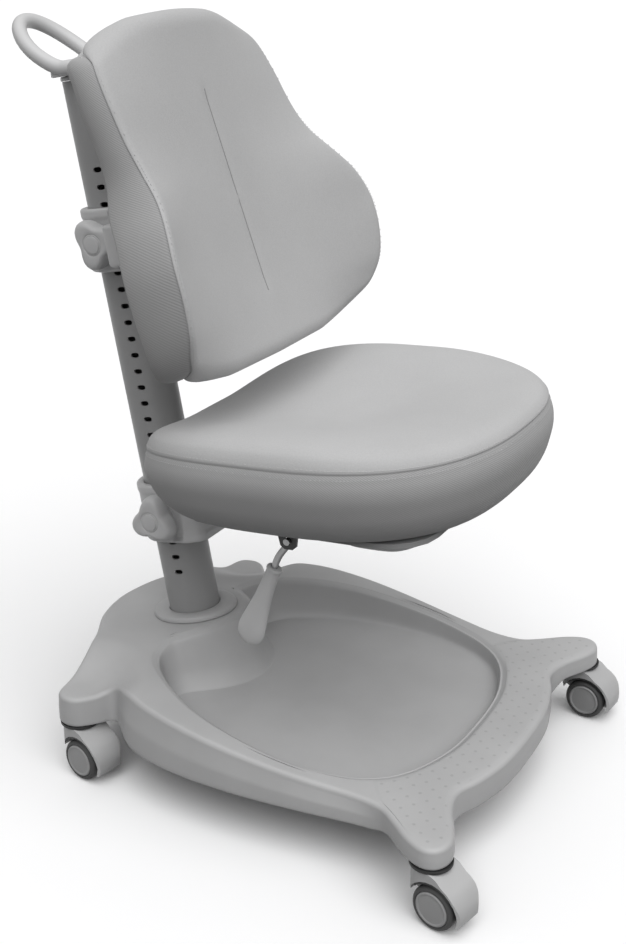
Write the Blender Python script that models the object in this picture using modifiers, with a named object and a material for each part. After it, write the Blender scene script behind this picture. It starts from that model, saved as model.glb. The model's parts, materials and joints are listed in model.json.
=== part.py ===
"""Height-adjustable study chair on casters, built from separate pieces.

Units are metres.  +Z is up, the sitter faces -Y and the sitter's right hand is at -X.
The floor is z = 0.  A perforated oval mast leans back out of a moulded tray base.  A seat
carriage and a backrest carriage slide on the mast and are held by pull-pins with three-lobed
knobs.
"""
from math import cos, hypot, pi, radians, sin, tan

import bmesh
import bpy
from mathutils import Matrix, Vector

# ---------------------------------------------------------------- clearances
FIT = 0.0003            # gap between pieces that are fixed together
SLIDE_GAP = 0.0005      # gap between pieces that slide on each other
ROUND_GAP = 0.0006      # radial gap in a bearing, wide enough for faceted rounds

# ---------------------------------------------------------------- mast
MAST_FOOT_Y = 0.107     # where the mast's axis would meet the floor
MAST_LEAN = radians(10.45)
MAST_HALF_WIDTH = 0.0305
MAST_HALF_DEPTH = 0.033
MAST_WALL = 0.0022
MAST_START = 0.070      # distances along the mast, from where its axis meets the floor
MAST_END = 0.806
HOLE_PITCH = 0.020
HOLE_COUNT = 26
HOLE_TOP = 0.7046
HOLE_LENGTH = 0.0096
HOLE_HEIGHT = 0.0058
HOLE_OFFSET = -0.0075    # holes and pull-pins stand this far in front of the mast's widest line
CAP_THICKNESS = 0.005

HANDLE_HALF_WIDTH = 0.042
HANDLE_TUBE_RADIUS = 0.0085
HANDLE_REACH = 0.075   # from the mast's axis back to the rear of the loop's centre line
HANDLE_FRONT = 0.022
HANDLE_CORNER = 0.018
HANDLE_LIFT = 0.0595    # rise of the loop's rear over its front
HANDLE_CURL = 1.5       # how late the rise starts

# ---------------------------------------------------------------- base
FLOOR_TOP = 0.075       # top of the foot tray's floor
SHELL_WALL = 0.004
FRONT_HEIGHT = 0.094
RAIL_HEIGHT = 0.120
REAR_ARM_HEIGHT = 0.101
DOME_HEIGHT = 0.139
SKIRT_BOTTOM = 0.060
ARM_BOTTOM = 0.070
COLLAR_HALF_WIDTH = 0.048
COLLAR_HALF_DEPTH = 0.056
COLLAR_THICKNESS = 0.007
FOOT_PLATE_HALF_WIDTH = 0.085
FOOT_PLATE_FRONT = -0.045
FOOT_PLATE_REAR = 0.185
FOOT_PLATE_CORNER = 0.020
FOOT_PLATE_THICKNESS = 0.004
FOOT_SOCKET_WALL = 0.0035
FOOT_SOCKET_START = 0.0675  # distances along the mast
FOOT_SOCKET_LENGTH = 0.052
STEM_BOSS_RADIUS = 0.0125
EDGE_ROUNDING = 0.009   # width of the rounding along the base's outer top edge

# plan of the base's right half, front to rear: edge of the skirt and rim of the tray
BASE_PLAN = [
    ((0.000, -0.326), (0.000, -0.262)),
    ((0.062, -0.323), (0.060, -0.259)),
    ((0.112, -0.311), (0.104, -0.247)),
    ((0.142, -0.299), (0.128, -0.236)),
    ((0.172, -0.305), (0.140, -0.229)),
    ((0.205, -0.322), (0.148, -0.223)),
    ((0.229, -0.3285), (0.154, -0.217)),
    ((0.247, -0.321), (0.159, -0.211)),
    ((0.2525, -0.304), (0.164, -0.204)),
    ((0.242, -0.280), (0.170, -0.195)),
    ((0.220, -0.252), (0.176, -0.184)),
    ((0.208, -0.231), (0.181, -0.170)),
    ((0.210, -0.196), (0.188, -0.144)),
    ((0.218, -0.140), (0.193, -0.106)),
    ((0.225, -0.070), (0.192, -0.056)),
    ((0.226, -0.005), (0.184, -0.004)),
    ((0.219, 0.056), (0.168, 0.042)),
    ((0.203, 0.100), (0.148, 0.076)),
    ((0.180, 0.130), (0.131, 0.098)),
    ((0.196, 0.147), (0.122, 0.106)),
    ((0.212, 0.162), (0.114, 0.112)),
    ((0.215, 0.180), (0.105, 0.116)),
    ((0.203, 0.197), (0.095, 0.118)),
    ((0.165, 0.202), (0.081, 0.117)),
    ((0.130, 0.207), (0.071, 0.110)),
    ((0.098, 0.218), (0.060, 0.097)),
    ((0.055, 0.241), (0.043, 0.080)),
    ((0.000, 0.252), (0.000, 0.059)),
]

# ---------------------------------------------------------------- casters
WHEEL_RADIUS = 0.0255
WHEEL_WIDTH = 0.0145
WHEEL_CLEARANCE = 0.0058    # between the tyre and the hood
WHEEL_SIDE_GAP = 0.0008     # between the disc and the web
TYRE_THICKNESS = 0.0054
WEB_HALF_WIDTH = 0.0065
CASTER_TRAIL = 0.0165
HOOD_THICKNESS = 0.0024
HOOD_HEAD_RADIUS = 0.0210
HOOD_HEAD_BOTTOM = 0.0385
HOOD_CORNER = 0.0090
HOOD_END = 198          # degrees round the axle, from the front, at which the fender ends
STEM_RADIUS = 0.005
STEM_TOP = 0.087
STEM_LOW = 0.046
AXLE_RADIUS = 0.003
AXLE_BOSS_RADIUS = 0.010
WHEEL_SIDES = 16
HOOD_TOP = 0.0665
CASTERS = {             # pivot x and y, heading of the trailing wheel
    "front_right": (-0.231, -0.307, radians(-12)),
    "front_left": (0.231, -0.307, radians(-5)),
    "rear_right": (-0.193, 0.174, radians(-11)),
    "rear_left": (0.193, 0.174, radians(-8)),
}

# ---------------------------------------------------------------- clamps and knobs
CLAMP_WALL = 0.010
CLAMP_HEIGHT = 0.074
BACKREST_HOLE = 4       # hole that each pull-pin faces, counted from the top
SEAT_HOLE = 21
BACKREST_CLAMP_NOSE = 0.004
SEAT_CLAMP_NOSE = 0.016
PIN_RADIUS = 0.0024
PIN_SHANK_RADIUS = 0.0045
KNOB_RADIUS = 0.0305
KNOB_THICKNESS = 0.022
KNOB_STANDOFF = 0.0030
KNOB_CAP_RADIUS = 0.0105
KNOB_SIDES = 21
BACKREST_KNOB_TURN = radians(40)
SEAT_KNOB_TURN = radians(-10)
BOSS_RADIUS = 0.013
BOSS_LENGTH = 0.0015

# ---------------------------------------------------------------- seat
SEAT_REACH = 0.24962    # from the middle of the seat clamp forward to the middle of the cushion
SEAT_RISE = 0.17012     # and up to the seam that divides crown and boxing
SEAT_TILT = radians(4.9)
SEAT_HALF_WIDTH = 0.211
SEAT_HALF_LENGTH = 0.209
SEAT_TAPER = 0.02
SEAT_FRONT_SQUARENESS = 2.6
SEAT_REAR_SQUARENESS = 6.0
CUSHION_DROP = 0.086    # from the seam down to the cushion's underside
CUSHION_CROWN = 0.017
CUSHION_DISH = 0.020
PANEL_THICKNESS = 0.006
PANEL_HALF_WIDTH = 0.160
PANEL_HALF_LENGTH = 0.152
COVER_DEPTH = 0.012
COVER_HALF_WIDTH = 0.150
COVER_FRONT = -0.130
COVER_REAR = -0.030
SLIDE_PLATE_HALF_WIDTH = 0.060
SLIDE_PLATE_THICKNESS = 0.004
PLATE_DROP = 0.004      # slide plate's top below the seat panel
PLATE_REAR = 0.140
PLATE_CORNER = 0.006
ARM_FRONT = -0.018
ARM_SETBACK = 0.006     # of the arm's front end behind the plate's
ARM_STOCK = 0.262       # length of the arm before its rear is cut to the clamp
RAIL_FRONT = -0.026
RAIL_REAR = 0.120
RAIL_WALL = 0.003
RAIL_LIP = 0.010
ARM_HALF_WIDTH = 0.024
ARM_DEPTH = 0.026

# ---------------------------------------------------------------- lever
LEVER_X = -0.125
LEVER_Y = 0.016         # in the seat's own frame
LEVER_DROP = 0.017      # shaft's axis below the seat panel
LEVER_SHAFT_RADIUS = 0.004
LEVER_LEAN = radians(26)
LEVER_ROD_RADIUS = 0.004
LEVER_ROD_LENGTH = 0.034
LEVER_ROD_OVERLAP = 0.012   # length of the rod that is in the grip
LEVER_SHAFT_START = -0.016  # measured from the rod towards the middle of the seat
LEVER_SHAFT_CLEARANCE = 0.010
LEVER_BRACKET_LENGTH = 0.050
LEVER_BRACKET_WIDTH = 0.040
LEVER_BRACKET_SHEET = 0.003
LEVER_BRACKET_MIDDLE = 0.012
LEVER_EAR_HALF_WIDTH = 0.014
LEVER_EAR_RADIUS = 0.010
GRIP_LENGTH = 0.128
GRIP_HALF_WIDTH = 0.0165
GRIP_HALF_DEPTH = 0.008
SPRING_START = 0.018
SPRING_LENGTH = 0.012
SPRING_RADIUS = 0.0062
SPRING_WIRE_RADIUS = 0.0008
SPRING_TURNS = 3

# the grip, from the rod to its tip: shares of its length, half width and half depth
GRIP_SECTIONS = [
    (0.00, 0.45, 0.88),
    (0.03, 0.52, 0.98),
    (0.25, 0.58, 1.00),
    (0.50, 0.76, 0.88),
    (0.75, 1.00, 0.78),
    (0.90, 0.97, 0.69),
    (0.97, 0.67, 0.56),
    (1.00, 0.30, 0.31),
]

# ---------------------------------------------------------------- backrest
BACK_REACH = 0.16579    # from the middle of the backrest clamp forward to the backrest's own origin
BACK_RISE = 0.06076
BACK_LEAN = radians(20)
BACK_SHELL_THICKNESS = 0.005
BACK_COLUMNS = 7        # points across each section
BACK_EDGE = 0.012       # width of the rounded side
BACK_WRAP = 2.4         # how late the wings turn forward
BRACKET_HALF_WIDTH = 0.078
BRACKET_HALF_HEIGHT = 0.025
BRACKET_STOCK = 0.130               # reach of its block in front of the mast, before it is cut to the shell
BRACKET_ARM_GAP = 0.052             # half of the space between its two arms
BRACKET_BEARING = (-0.05, 0.01)     # heights in the backrest's frame that the bracket lies between

# height in the backrest's frame, half width, wing set forward, front and rear of the middle
BACK_SECTIONS = [
    (0.212, 0.070, 0.006, 0.022, 0.034),
    (0.205, 0.102, 0.008, 0.012, 0.040),
    (0.194, 0.130, 0.012, 0.006, 0.041),
    (0.178, 0.149, 0.012, 0.002, 0.040),
    (0.156, 0.158, 0.008, 0.000, 0.038),
    (0.125, 0.163, 0.003, 0.000, 0.041),
    (0.085, 0.166, -0.003, 0.000, 0.043),
    (0.052, 0.170, -0.012, 0.000, 0.048),
    (0.020, 0.183, -0.0265, 0.000, 0.053),
    (-0.010, 0.1995, -0.0375, 0.000, 0.054),
    (-0.045, 0.2115, -0.042, 0.000, 0.055),
    (-0.080, 0.2135, -0.041, 0.000, 0.057),
    (-0.115, 0.211, -0.034, 0.000, 0.057),
    (-0.141, 0.203, -0.021, 0.001, 0.050),
    (-0.158, 0.186, -0.009, 0.005, 0.046),
    (-0.170, 0.152, -0.002, 0.010, 0.042),
    (-0.178, 0.102, 0.000, 0.018, 0.034),
]


# ================================================================ helpers
def clear_scene():
    """Remove what a new file holds."""
    for item in list(bpy.data.objects):
        bpy.data.objects.remove(item, do_unlink=True)


def new_collection(name):
    """Make a collection in the scene."""
    group = bpy.data.collections.new(name)
    bpy.context.scene.collection.children.link(group)
    return group


def make_material(name, colour, roughness, metallic=0.0):
    """Make a Principled material."""
    material = bpy.data.materials.new(name)
    material.use_nodes = True
    shader = material.node_tree.nodes["Principled BSDF"]
    shader.inputs["Base Color"].default_value = (*colour, 1.0)
    shader.inputs["Roughness"].default_value = roughness
    shader.inputs["Metallic"].default_value = metallic
    return material


def smooth_step(value):
    """Ease from 0 to 1 as value goes from 0 to 1."""
    value = min(1.0, max(0.0, value))
    return value * value * (3 - 2 * value)


def mix(start, end, share):
    """Go from start to end by share."""
    return start + (end - start) * share


class Workshop:
    """Holds the collections, and places each piece in them."""

    def __init__(self, name):
        self.parts = new_collection(name)
        self.cutters = new_collection(name + "_cutters")

    def place(self, name, mesh, parent=None, location=(0, 0, 0), rotation=(0, 0, 0), colour=None):
        """Add a mesh as a named piece."""
        piece = bpy.data.objects.new(name, mesh)
        self.parts.objects.link(piece)
        piece.parent = parent
        piece.location = location
        piece.rotation_euler = rotation
        if colour is not None and not mesh.materials:
            mesh.materials.append(colour)
        mesh.shade_smooth()
        mesh.set_sharp_from_angle(angle=radians(35))
        return piece

    def guide(self, name, parent=None, location=(0, 0, 0), rotation=(0, 0, 0)):
        """Add an empty that marks a joint or a frame."""
        empty = bpy.data.objects.new(name, None)
        self.parts.objects.link(empty)
        empty.parent = parent
        empty.location = location
        empty.rotation_euler = rotation
        empty.empty_display_size = 0.03
        return empty

    def boolean(self, piece, mesh, operation, location=(0, 0, 0), rotation=(0, 0, 0), parent=None):
        """Cut or join a shape, given in the frame of the piece's parent."""
        tool = bpy.data.objects.new(piece.name + "_" + operation.lower(), mesh)
        self.cutters.objects.link(tool)
        tool.parent = parent if parent is not None else piece.parent
        tool.location = location
        tool.rotation_euler = rotation
        tool.hide_render = True
        tool.display_type = "WIRE"
        step = piece.modifiers.new(operation.lower(), "BOOLEAN")
        step.operation = operation
        step.object = tool
        step.solver = "EXACT"
        return tool


def bevel(piece, width, segments=2, angle=40):
    """Round a piece's edges that are sharper than the angle."""
    step = piece.modifiers.new("bevel", "BEVEL")
    step.width = width
    step.segments = segments
    step.limit_method = "ANGLE"
    step.angle_limit = radians(angle)


def box_mesh(size, centre=(0, 0, 0)):
    """A box of the given size."""
    work = bmesh.new()
    bmesh.ops.create_cube(work, size=1.0)
    bmesh.ops.scale(work, vec=Vector(size), verts=work.verts)
    bmesh.ops.translate(work, vec=Vector(centre), verts=work.verts)
    mesh = bpy.data.meshes.new("box")
    work.to_mesh(mesh)
    work.free()
    return mesh


def cylinder_mesh(radius, length, sides=16, axis="Z", centre=(0, 0, 0)):
    """A cylinder along one axis."""
    work = bmesh.new()
    bmesh.ops.create_cone(work, cap_ends=True, segments=sides, radius1=radius, radius2=radius, depth=length)
    turn = {"Z": Matrix(), "X": Matrix.Rotation(pi / 2, 4, "Y"), "Y": Matrix.Rotation(pi / 2, 4, "X")}[axis]
    bmesh.ops.transform(work, matrix=turn, verts=work.verts)
    bmesh.ops.translate(work, vec=Vector(centre), verts=work.verts)
    mesh = bpy.data.meshes.new("cylinder")
    work.to_mesh(mesh)
    work.free()
    return mesh


def outline_mesh(outlines, thickness, start=0.0):
    """Extrude closed outlines, holes included, from z = start to z = start + thickness."""
    curve = bpy.data.curves.new("outline", "CURVE")
    curve.dimensions = "2D"
    curve.fill_mode = "BOTH"
    curve.extrude = thickness / 2
    for points in outlines:
        spline = curve.splines.new("POLY")
        spline.points.add(len(points) - 1)
        for place, (x, y) in zip(spline.points, points):
            place.co = (x, y, 0, 1)
        spline.use_cyclic_u = True
    holder = bpy.data.objects.new("outline", curve)
    mesh = bpy.data.meshes.new_from_object(holder)
    bpy.data.objects.remove(holder)
    bpy.data.curves.remove(curve)
    work = bmesh.new()
    work.from_mesh(mesh)
    bmesh.ops.remove_doubles(work, verts=work.verts, dist=0.00001)
    bmesh.ops.translate(work, vec=(0, 0, start + thickness / 2), verts=work.verts)
    bmesh.ops.recalc_face_normals(work, faces=work.faces)
    work.to_mesh(mesh)
    work.free()
    return mesh


def tube_mesh(points, radius, sides_level=2, closed=False):
    """A round bar along points."""
    curve = bpy.data.curves.new("tube", "CURVE")
    curve.dimensions = "3D"
    curve.bevel_depth = radius
    curve.bevel_resolution = sides_level
    curve.use_fill_caps = True
    spline = curve.splines.new("POLY")
    spline.points.add(len(points) - 1)
    for place, point in zip(spline.points, points):
        place.co = (*point, 1)
    spline.use_cyclic_u = closed
    holder = bpy.data.objects.new("tube", curve)
    mesh = bpy.data.meshes.new_from_object(holder)
    bpy.data.objects.remove(holder)
    bpy.data.curves.remove(curve)
    work = bmesh.new()
    work.from_mesh(mesh)
    bmesh.ops.remove_doubles(work, verts=work.verts, dist=0.00001)
    bmesh.ops.recalc_face_normals(work, faces=work.faces)
    work.to_mesh(mesh)
    work.free()
    return mesh


def turned(shop, name, profile, steps=24, **placing):
    """Turn a profile of (radius, height), running down its outer side, about Z."""
    mesh = bpy.data.meshes.new(name)
    mesh.from_pydata([(r, 0, z) for r, z in profile], [(i, i + 1) for i in range(len(profile) - 1)], [])
    piece = shop.place(name, mesh, **placing)
    screw = piece.modifiers.new("screw", "SCREW")
    screw.steps = steps
    screw.render_steps = steps
    screw.use_merge_vertices = True
    screw.merge_threshold = 0.00001
    screw.use_smooth_shade = True
    return piece


def ellipse(half_width, half_depth, sides=24):
    """Points of an ellipse in plan."""
    angles = [2 * pi * i / sides for i in range(sides)]
    return [(half_width * cos(a), half_depth * sin(a)) for a in angles]


def rounded_box(half_width, front, rear, radius, corner_sides=4):
    """Points of a rectangle in plan with rounded corners."""
    corners = [
        (half_width - radius, rear - radius, 0),
        (-half_width + radius, rear - radius, 90),
        (-half_width + radius, front + radius, 180),
        (half_width - radius, front + radius, 270),
    ]
    points = []
    for x, y, first in corners:
        for step in range(corner_sides + 1):
            angle = radians(first + 90 * step / corner_sides)
            points.append((x + radius * cos(angle), y + radius * sin(angle)))
    return points


def loft_mesh(name, rings, cap_start=True, cap_end=True, triangles=False):
    """Skin a series of closed rings that have as many points each.

    With triangles, each quad is split along its shorter diagonal, so that two skins a
    constant distance apart stay parallel.
    """
    work = bmesh.new()
    rows = [[work.verts.new(point) for point in ring] for ring in rings]
    count = len(rows[0])
    for lower, upper in zip(rows, rows[1:]):
        for i in range(count):
            j = (i + 1) % count
            corners = (lower[i], lower[j], upper[j], upper[i])
            if not triangles:
                work.faces.new(corners)
            elif (lower[i].co - upper[j].co).length < (lower[j].co - upper[i].co).length - 0.000001:
                work.faces.new((corners[0], corners[1], corners[2]))
                work.faces.new((corners[0], corners[2], corners[3]))
            else:
                work.faces.new((corners[1], corners[2], corners[3]))
                work.faces.new((corners[1], corners[3], corners[0]))
    if cap_start:
        work.faces.new(list(reversed(rows[0])))
    if cap_end:
        work.faces.new(rows[-1])
    if cap_start and cap_end:
        bmesh.ops.recalc_face_normals(work, faces=work.faces)
    mesh = bpy.data.meshes.new(name)
    work.to_mesh(mesh)
    work.free()
    return mesh


# ================================================================ base
def pivot_distance(x, y):
    """Distance in plan to the nearest caster pivot."""
    return min(hypot(x - px, y - py) for px, py, _ in CASTERS.values())


def rail_height(x, y):
    """Height of the base's top surface, without the dome."""
    height = mix(FRONT_HEIGHT, RAIL_HEIGHT, smooth_step((y + 0.25) / 0.27))
    if y > 0:
        near_arm = smooth_step((0.095 - pivot_distance(x, y)) / 0.065)
        height = mix(height, REAR_ARM_HEIGHT, near_arm)
    return height


def mast_y(z):
    """The mast axis' y at a height."""
    return MAST_FOOT_Y + z * tan(MAST_LEAN)


def dome_share(x, y):
    """1 under the mast's collar, easing to 0 on the rails."""
    centre = mast_y(DOME_HEIGHT)
    reach = hypot(x / COLLAR_HALF_WIDTH, (y - centre) / COLLAR_HALF_DEPTH)
    return 1 - smooth_step((reach - 1.06) / 1.25)


def top_height(x, y):
    """Height of the base's top surface."""
    dome = DOME_HEIGHT - (y - mast_y(DOME_HEIGHT)) * tan(MAST_LEAN)
    return mix(rail_height(x, y), dome, dome_share(x, y))


def skirt_height(x, y):
    """Height of the skirt's lower edge."""
    near_arm = smooth_step((0.088 - pivot_distance(x, y)) / 0.036)
    return mix(SKIRT_BOTTOM, ARM_BOTTOM, near_arm)


def full_ring(half):
    """Mirror the right half of a plan into a closed ring."""
    return half + [(-x, y) for x, y in reversed(half[1:-1])]


def inset(ring, distance):
    """Move each point of a closed ring inward by its distance."""
    moved = []
    count = len(ring)
    for i, (x, y) in enumerate(ring):
        before = ring[i - 1]
        after = ring[(i + 1) % count]
        along = Vector((after[0] - before[0], after[1] - before[1])).normalized()
        moved.append((x - along.y * distance[i], y + along.x * distance[i]))
    return moved


def base_rings():
    """Rings of the base's skin, from the skirt's lower edge over the rail and down to the tray."""
    outer = full_ring([row[0] for row in BASE_PLAN])
    rim = full_ring([row[1] for row in BASE_PLAN])
    domes = [dome_share(x, y) for x, y in rim]

    def at(plan, heights):
        return [(x, y, z) for (x, y), z in zip(plan, heights)]

    def top(plan, drop):
        return at(plan, [top_height(x, y) - drop for x, y in plan])

    rings = [at(outer, [skirt_height(x, y) for x, y in outer])]
    edge = inset(outer, [EDGE_ROUNDING] * len(outer))
    for step, drop in ((0.001, 0.014), (0.0035, 0.005), (EDGE_ROUNDING, 0.0012)):
        plan = inset(outer, [step] * len(outer))
        rings.append([(x, y, top_height(*near) - drop) for (x, y), near in zip(plan, edge)])
    lip = inset(rim, [-0.004] * len(rim))
    for share in (0.33, 0.67, 1.0):
        plan = [(mix(a[0], b[0], share), mix(a[1], b[1], share)) for a, b in zip(edge, lip)]
        rings.append(top(plan, 0.0))
    rings.append([(x, y, top_height(x, y) - mix(0.004, 0.006, d)) for (x, y), d in zip(rim, domes)])
    foot = inset(rim, [mix(0.008, 0.026, d) for d in domes])
    wall = inset(rim, [mix(0.0035, 0.010, d) for d in domes])
    heel = inset(rim, [mix(0.0115, 0.031, d) for d in domes])
    rings.append([(x, y, mix(FLOOR_TOP, top_height(*r), 0.55)) for (x, y), r in zip(wall, rim)])
    rings.append(at(foot, [FLOOR_TOP + 0.004] * len(foot)))
    rings.append(at(heel, [FLOOR_TOP] * len(heel)))
    return rings


def build_base(shop, mast_frame, shell_colour, dark_steel):
    """The moulded tray base, its collar and the steel foot that holds the mast."""
    mesh = loft_mesh("base_shell", base_rings(), cap_start=False)
    shell = shop.place("base_shell", mesh, colour=shell_colour)
    wall = shell.modifiers.new("wall", "SOLIDIFY")
    wall.thickness = SHELL_WALL
    wall.offset = -1
    opening = ellipse(MAST_HALF_WIDTH + FIT * 2, MAST_HALF_DEPTH + FIT * 2)
    shop.boolean(shell, outline_mesh([opening], 0.10, start=0.09), "DIFFERENCE", parent=mast_frame)
    for x, y, _ in CASTERS.values():
        boss_height = top_height(x, y) - SHELL_WALL / 2 - ARM_BOTTOM
        boss = outline_mesh([ellipse(STEM_BOSS_RADIUS, STEM_BOSS_RADIUS, 12)], boss_height, start=ARM_BOTTOM)
        shop.boolean(shell, boss, "UNION", location=(x, y, 0))
    for x, y, _ in CASTERS.values():
        bore = cylinder_mesh(STEM_RADIUS + ROUND_GAP, 0.03, 12, centre=(0, 0, STEM_TOP + FIT - 0.015))
        shop.boolean(shell, bore, "DIFFERENCE", location=(x, y, 0))

    collar_low = DOME_HEIGHT / cos(MAST_LEAN) + 0.0008
    ring = [ellipse(COLLAR_HALF_WIDTH, COLLAR_HALF_DEPTH), opening]
    collar = shop.place("mast_collar", outline_mesh(ring, COLLAR_THICKNESS, start=collar_low),
                        parent=mast_frame, colour=shell_colour)
    bevel(collar, 0.002, 1)

    plate_top = FLOOR_TOP - SHELL_WALL - FIT
    plan = rounded_box(FOOT_PLATE_HALF_WIDTH, FOOT_PLATE_FRONT, FOOT_PLATE_REAR, FOOT_PLATE_CORNER)
    plate = outline_mesh([plan], FOOT_PLATE_THICKNESS, start=plate_top - FOOT_PLATE_THICKNESS)
    foot = shop.place("mast_foot", plate, colour=dark_steel)
    socket_outer = ellipse(MAST_HALF_WIDTH + FOOT_SOCKET_WALL, MAST_HALF_DEPTH + FOOT_SOCKET_WALL)
    socket = outline_mesh([socket_outer], FOOT_SOCKET_LENGTH, start=FOOT_SOCKET_START)
    shop.boolean(foot, socket, "UNION", parent=mast_frame)
    socket_inner = ellipse(MAST_HALF_WIDTH + FIT * 2, MAST_HALF_DEPTH + FIT * 2)
    hollow = outline_mesh([socket_inner], FOOT_SOCKET_LENGTH * 1.5, start=MAST_START - FIT)
    shop.boolean(foot, hollow, "DIFFERENCE", parent=mast_frame)
    return shell


def build_mast(shop, mast_frame, mast_colour, trim_colour):
    """The perforated oval tube, its cap and the carrying loop."""
    outer = ellipse(MAST_HALF_WIDTH, MAST_HALF_DEPTH)
    inner = ellipse(MAST_HALF_WIDTH - MAST_WALL, MAST_HALF_DEPTH - MAST_WALL)
    tube = shop.place("mast_tube", outline_mesh([outer, inner], MAST_END - MAST_START, start=MAST_START),
                      parent=mast_frame, colour=mast_colour)
    slot = slot_outline(HOLE_LENGTH, HOLE_HEIGHT)
    cutter = outline_mesh([slot], 0.02)
    holes = bpy.data.meshes.new("mast_holes")
    work = bmesh.new()
    for number in range(HOLE_COUNT):
        first = len(work.verts)
        work.from_mesh(cutter)
        work.verts.ensure_lookup_table()
        place = Matrix.Translation((-MAST_HALF_WIDTH + 0.008, HOLE_OFFSET, hole_station(number)))
        stand = place @ Matrix.Rotation(-pi / 2, 4, "Y") @ Matrix.Rotation(pi / 2, 4, "Z")
        bmesh.ops.transform(work, matrix=stand, verts=work.verts[first:])
    work.to_mesh(holes)
    work.free()
    shop.boolean(tube, holes, "DIFFERENCE")

    cap_low = MAST_END + FIT
    cap_profile = ellipse(MAST_HALF_WIDTH + 0.001, MAST_HALF_DEPTH + 0.001)
    cap = shop.place("mast_cap", outline_mesh([cap_profile], CAP_THICKNESS, start=cap_low),
                     parent=mast_frame, colour=trim_colour)
    bevel(cap, 0.002, 1)
    plug = ellipse(MAST_HALF_WIDTH - MAST_WALL - FIT * 2, MAST_HALF_DEPTH - MAST_WALL - FIT * 2)
    shop.boolean(cap, outline_mesh([plug], 0.02, start=cap_low - 0.018), "UNION")
    build_handle(shop, mast_frame, cap_low + CAP_THICKNESS, trim_colour)


def slot_outline(length, height, end_sides=2):
    """A slot with round ends, long in x."""
    radius = height / 2
    half = length / 2 - radius
    points = []
    for centre, first in ((half, -90), (-half, 90)):
        for step in range(end_sides + 1):
            angle = radians(first + 180 * step / end_sides)
            points.append((centre + radius * cos(angle), radius * sin(angle)))
    return points


def hole_station(number):
    """Distance of a hole along the mast."""
    return HOLE_TOP - HOLE_PITCH * number


def ahead_of_hole(number, reach, rise):
    """The place that is a reach in front of, and a rise above, the mast's axis at a hole."""
    station = hole_station(number)
    return (0, MAST_FOOT_Y + station * sin(MAST_LEAN) - reach, station * cos(MAST_LEAN) + rise)


def handle_point(x, y):
    """A point of the loop's centre line: level over the mast, then rising to the rear."""
    climb = max(0.0, y / HANDLE_REACH) ** HANDLE_CURL
    return (x, y, HANDLE_LIFT * climb)


def build_handle(shop, mast_frame, seat_height, colour):
    """The carrying loop: a closed ring of round bar on a saddle over the mast's cap."""
    middle = HANDLE_REACH - HANDLE_HALF_WIDTH
    plan = arc(0, middle, HANDLE_HALF_WIDTH, 0, 180, 11)
    plan += arc(-HANDLE_HALF_WIDTH + HANDLE_CORNER, -HANDLE_FRONT + HANDLE_CORNER, HANDLE_CORNER, 180, 270, 3)
    plan += arc(HANDLE_HALF_WIDTH - HANDLE_CORNER, -HANDLE_FRONT + HANDLE_CORNER, HANDLE_CORNER, 270, 360, 3)
    points = [handle_point(x, y) for x, y in plan]
    centre = seat_height + FIT + HANDLE_TUBE_RADIUS
    loop = shop.place("handle_loop", tube_mesh(points, HANDLE_TUBE_RADIUS, 2, closed=True),
                      parent=mast_frame, location=(0, 0, centre), colour=colour)
    saddle = rounded_box(HANDLE_HALF_WIDTH, -HANDLE_FRONT, HANDLE_FRONT, 0.012)
    shop.boolean(loop, outline_mesh([saddle], HANDLE_TUBE_RADIUS * 1.4, start=seat_height + FIT), "UNION")
    return loop


# ================================================================ casters
def arc(centre_x, centre_y, radius, first, last, count):
    """Points on an arc, angles in degrees."""
    points = []
    for step in range(count):
        angle = radians(mix(first, last, step / (count - 1)))
        points.append((centre_x + radius * cos(angle), centre_y + radius * sin(angle)))
    return points


def side_extrusion(outline, half_width):
    """Extrude an outline given as (y, z) from x = -half_width to half_width."""
    mesh = outline_mesh([outline], half_width * 2, start=-half_width)
    mesh.transform(Matrix(((0, 0, 1, 0), (1, 0, 0, 0), (0, 1, 0, 0), (0, 0, 0, 1))))
    return mesh


def hood_outline():
    """Side outline of a hood: round head, fender, and the web down to the axle."""
    outer = WHEEL_RADIUS + WHEEL_CLEARANCE + HOOD_THICKNESS
    axle_y = -CASTER_TRAIL
    head = [(HOOD_HEAD_RADIUS, HOOD_HEAD_BOTTOM), (HOOD_HEAD_RADIUS, HOOD_TOP),
            (-HOOD_HEAD_RADIUS * 0.6, HOOD_TOP), (-HOOD_HEAD_RADIUS, HOOD_TOP - 0.0030)]
    fender = arc(axle_y, WHEEL_RADIUS, outer, 112, HOOD_END, 8)
    axle_boss = arc(axle_y, WHEEL_RADIUS, AXLE_BOSS_RADIUS, 225, 330, 4)
    return head + fender + axle_boss


def hood_plan(half_width):
    """Plan of a hood: round in front of the pivot, with rounded rear corners."""
    rear = -CASTER_TRAIL - WHEEL_RADIUS - WHEEL_CLEARANCE - HOOD_THICKNESS - 0.001
    middle = half_width - HOOD_CORNER
    front = arc(0, 0, half_width, 0, 180, 13)
    corners = arc(-middle, rear + HOOD_CORNER, HOOD_CORNER, 180, 270, 4)
    corners += arc(middle, rear + HOOD_CORNER, HOOD_CORNER, 270, 360, 4)
    return front + corners


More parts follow.
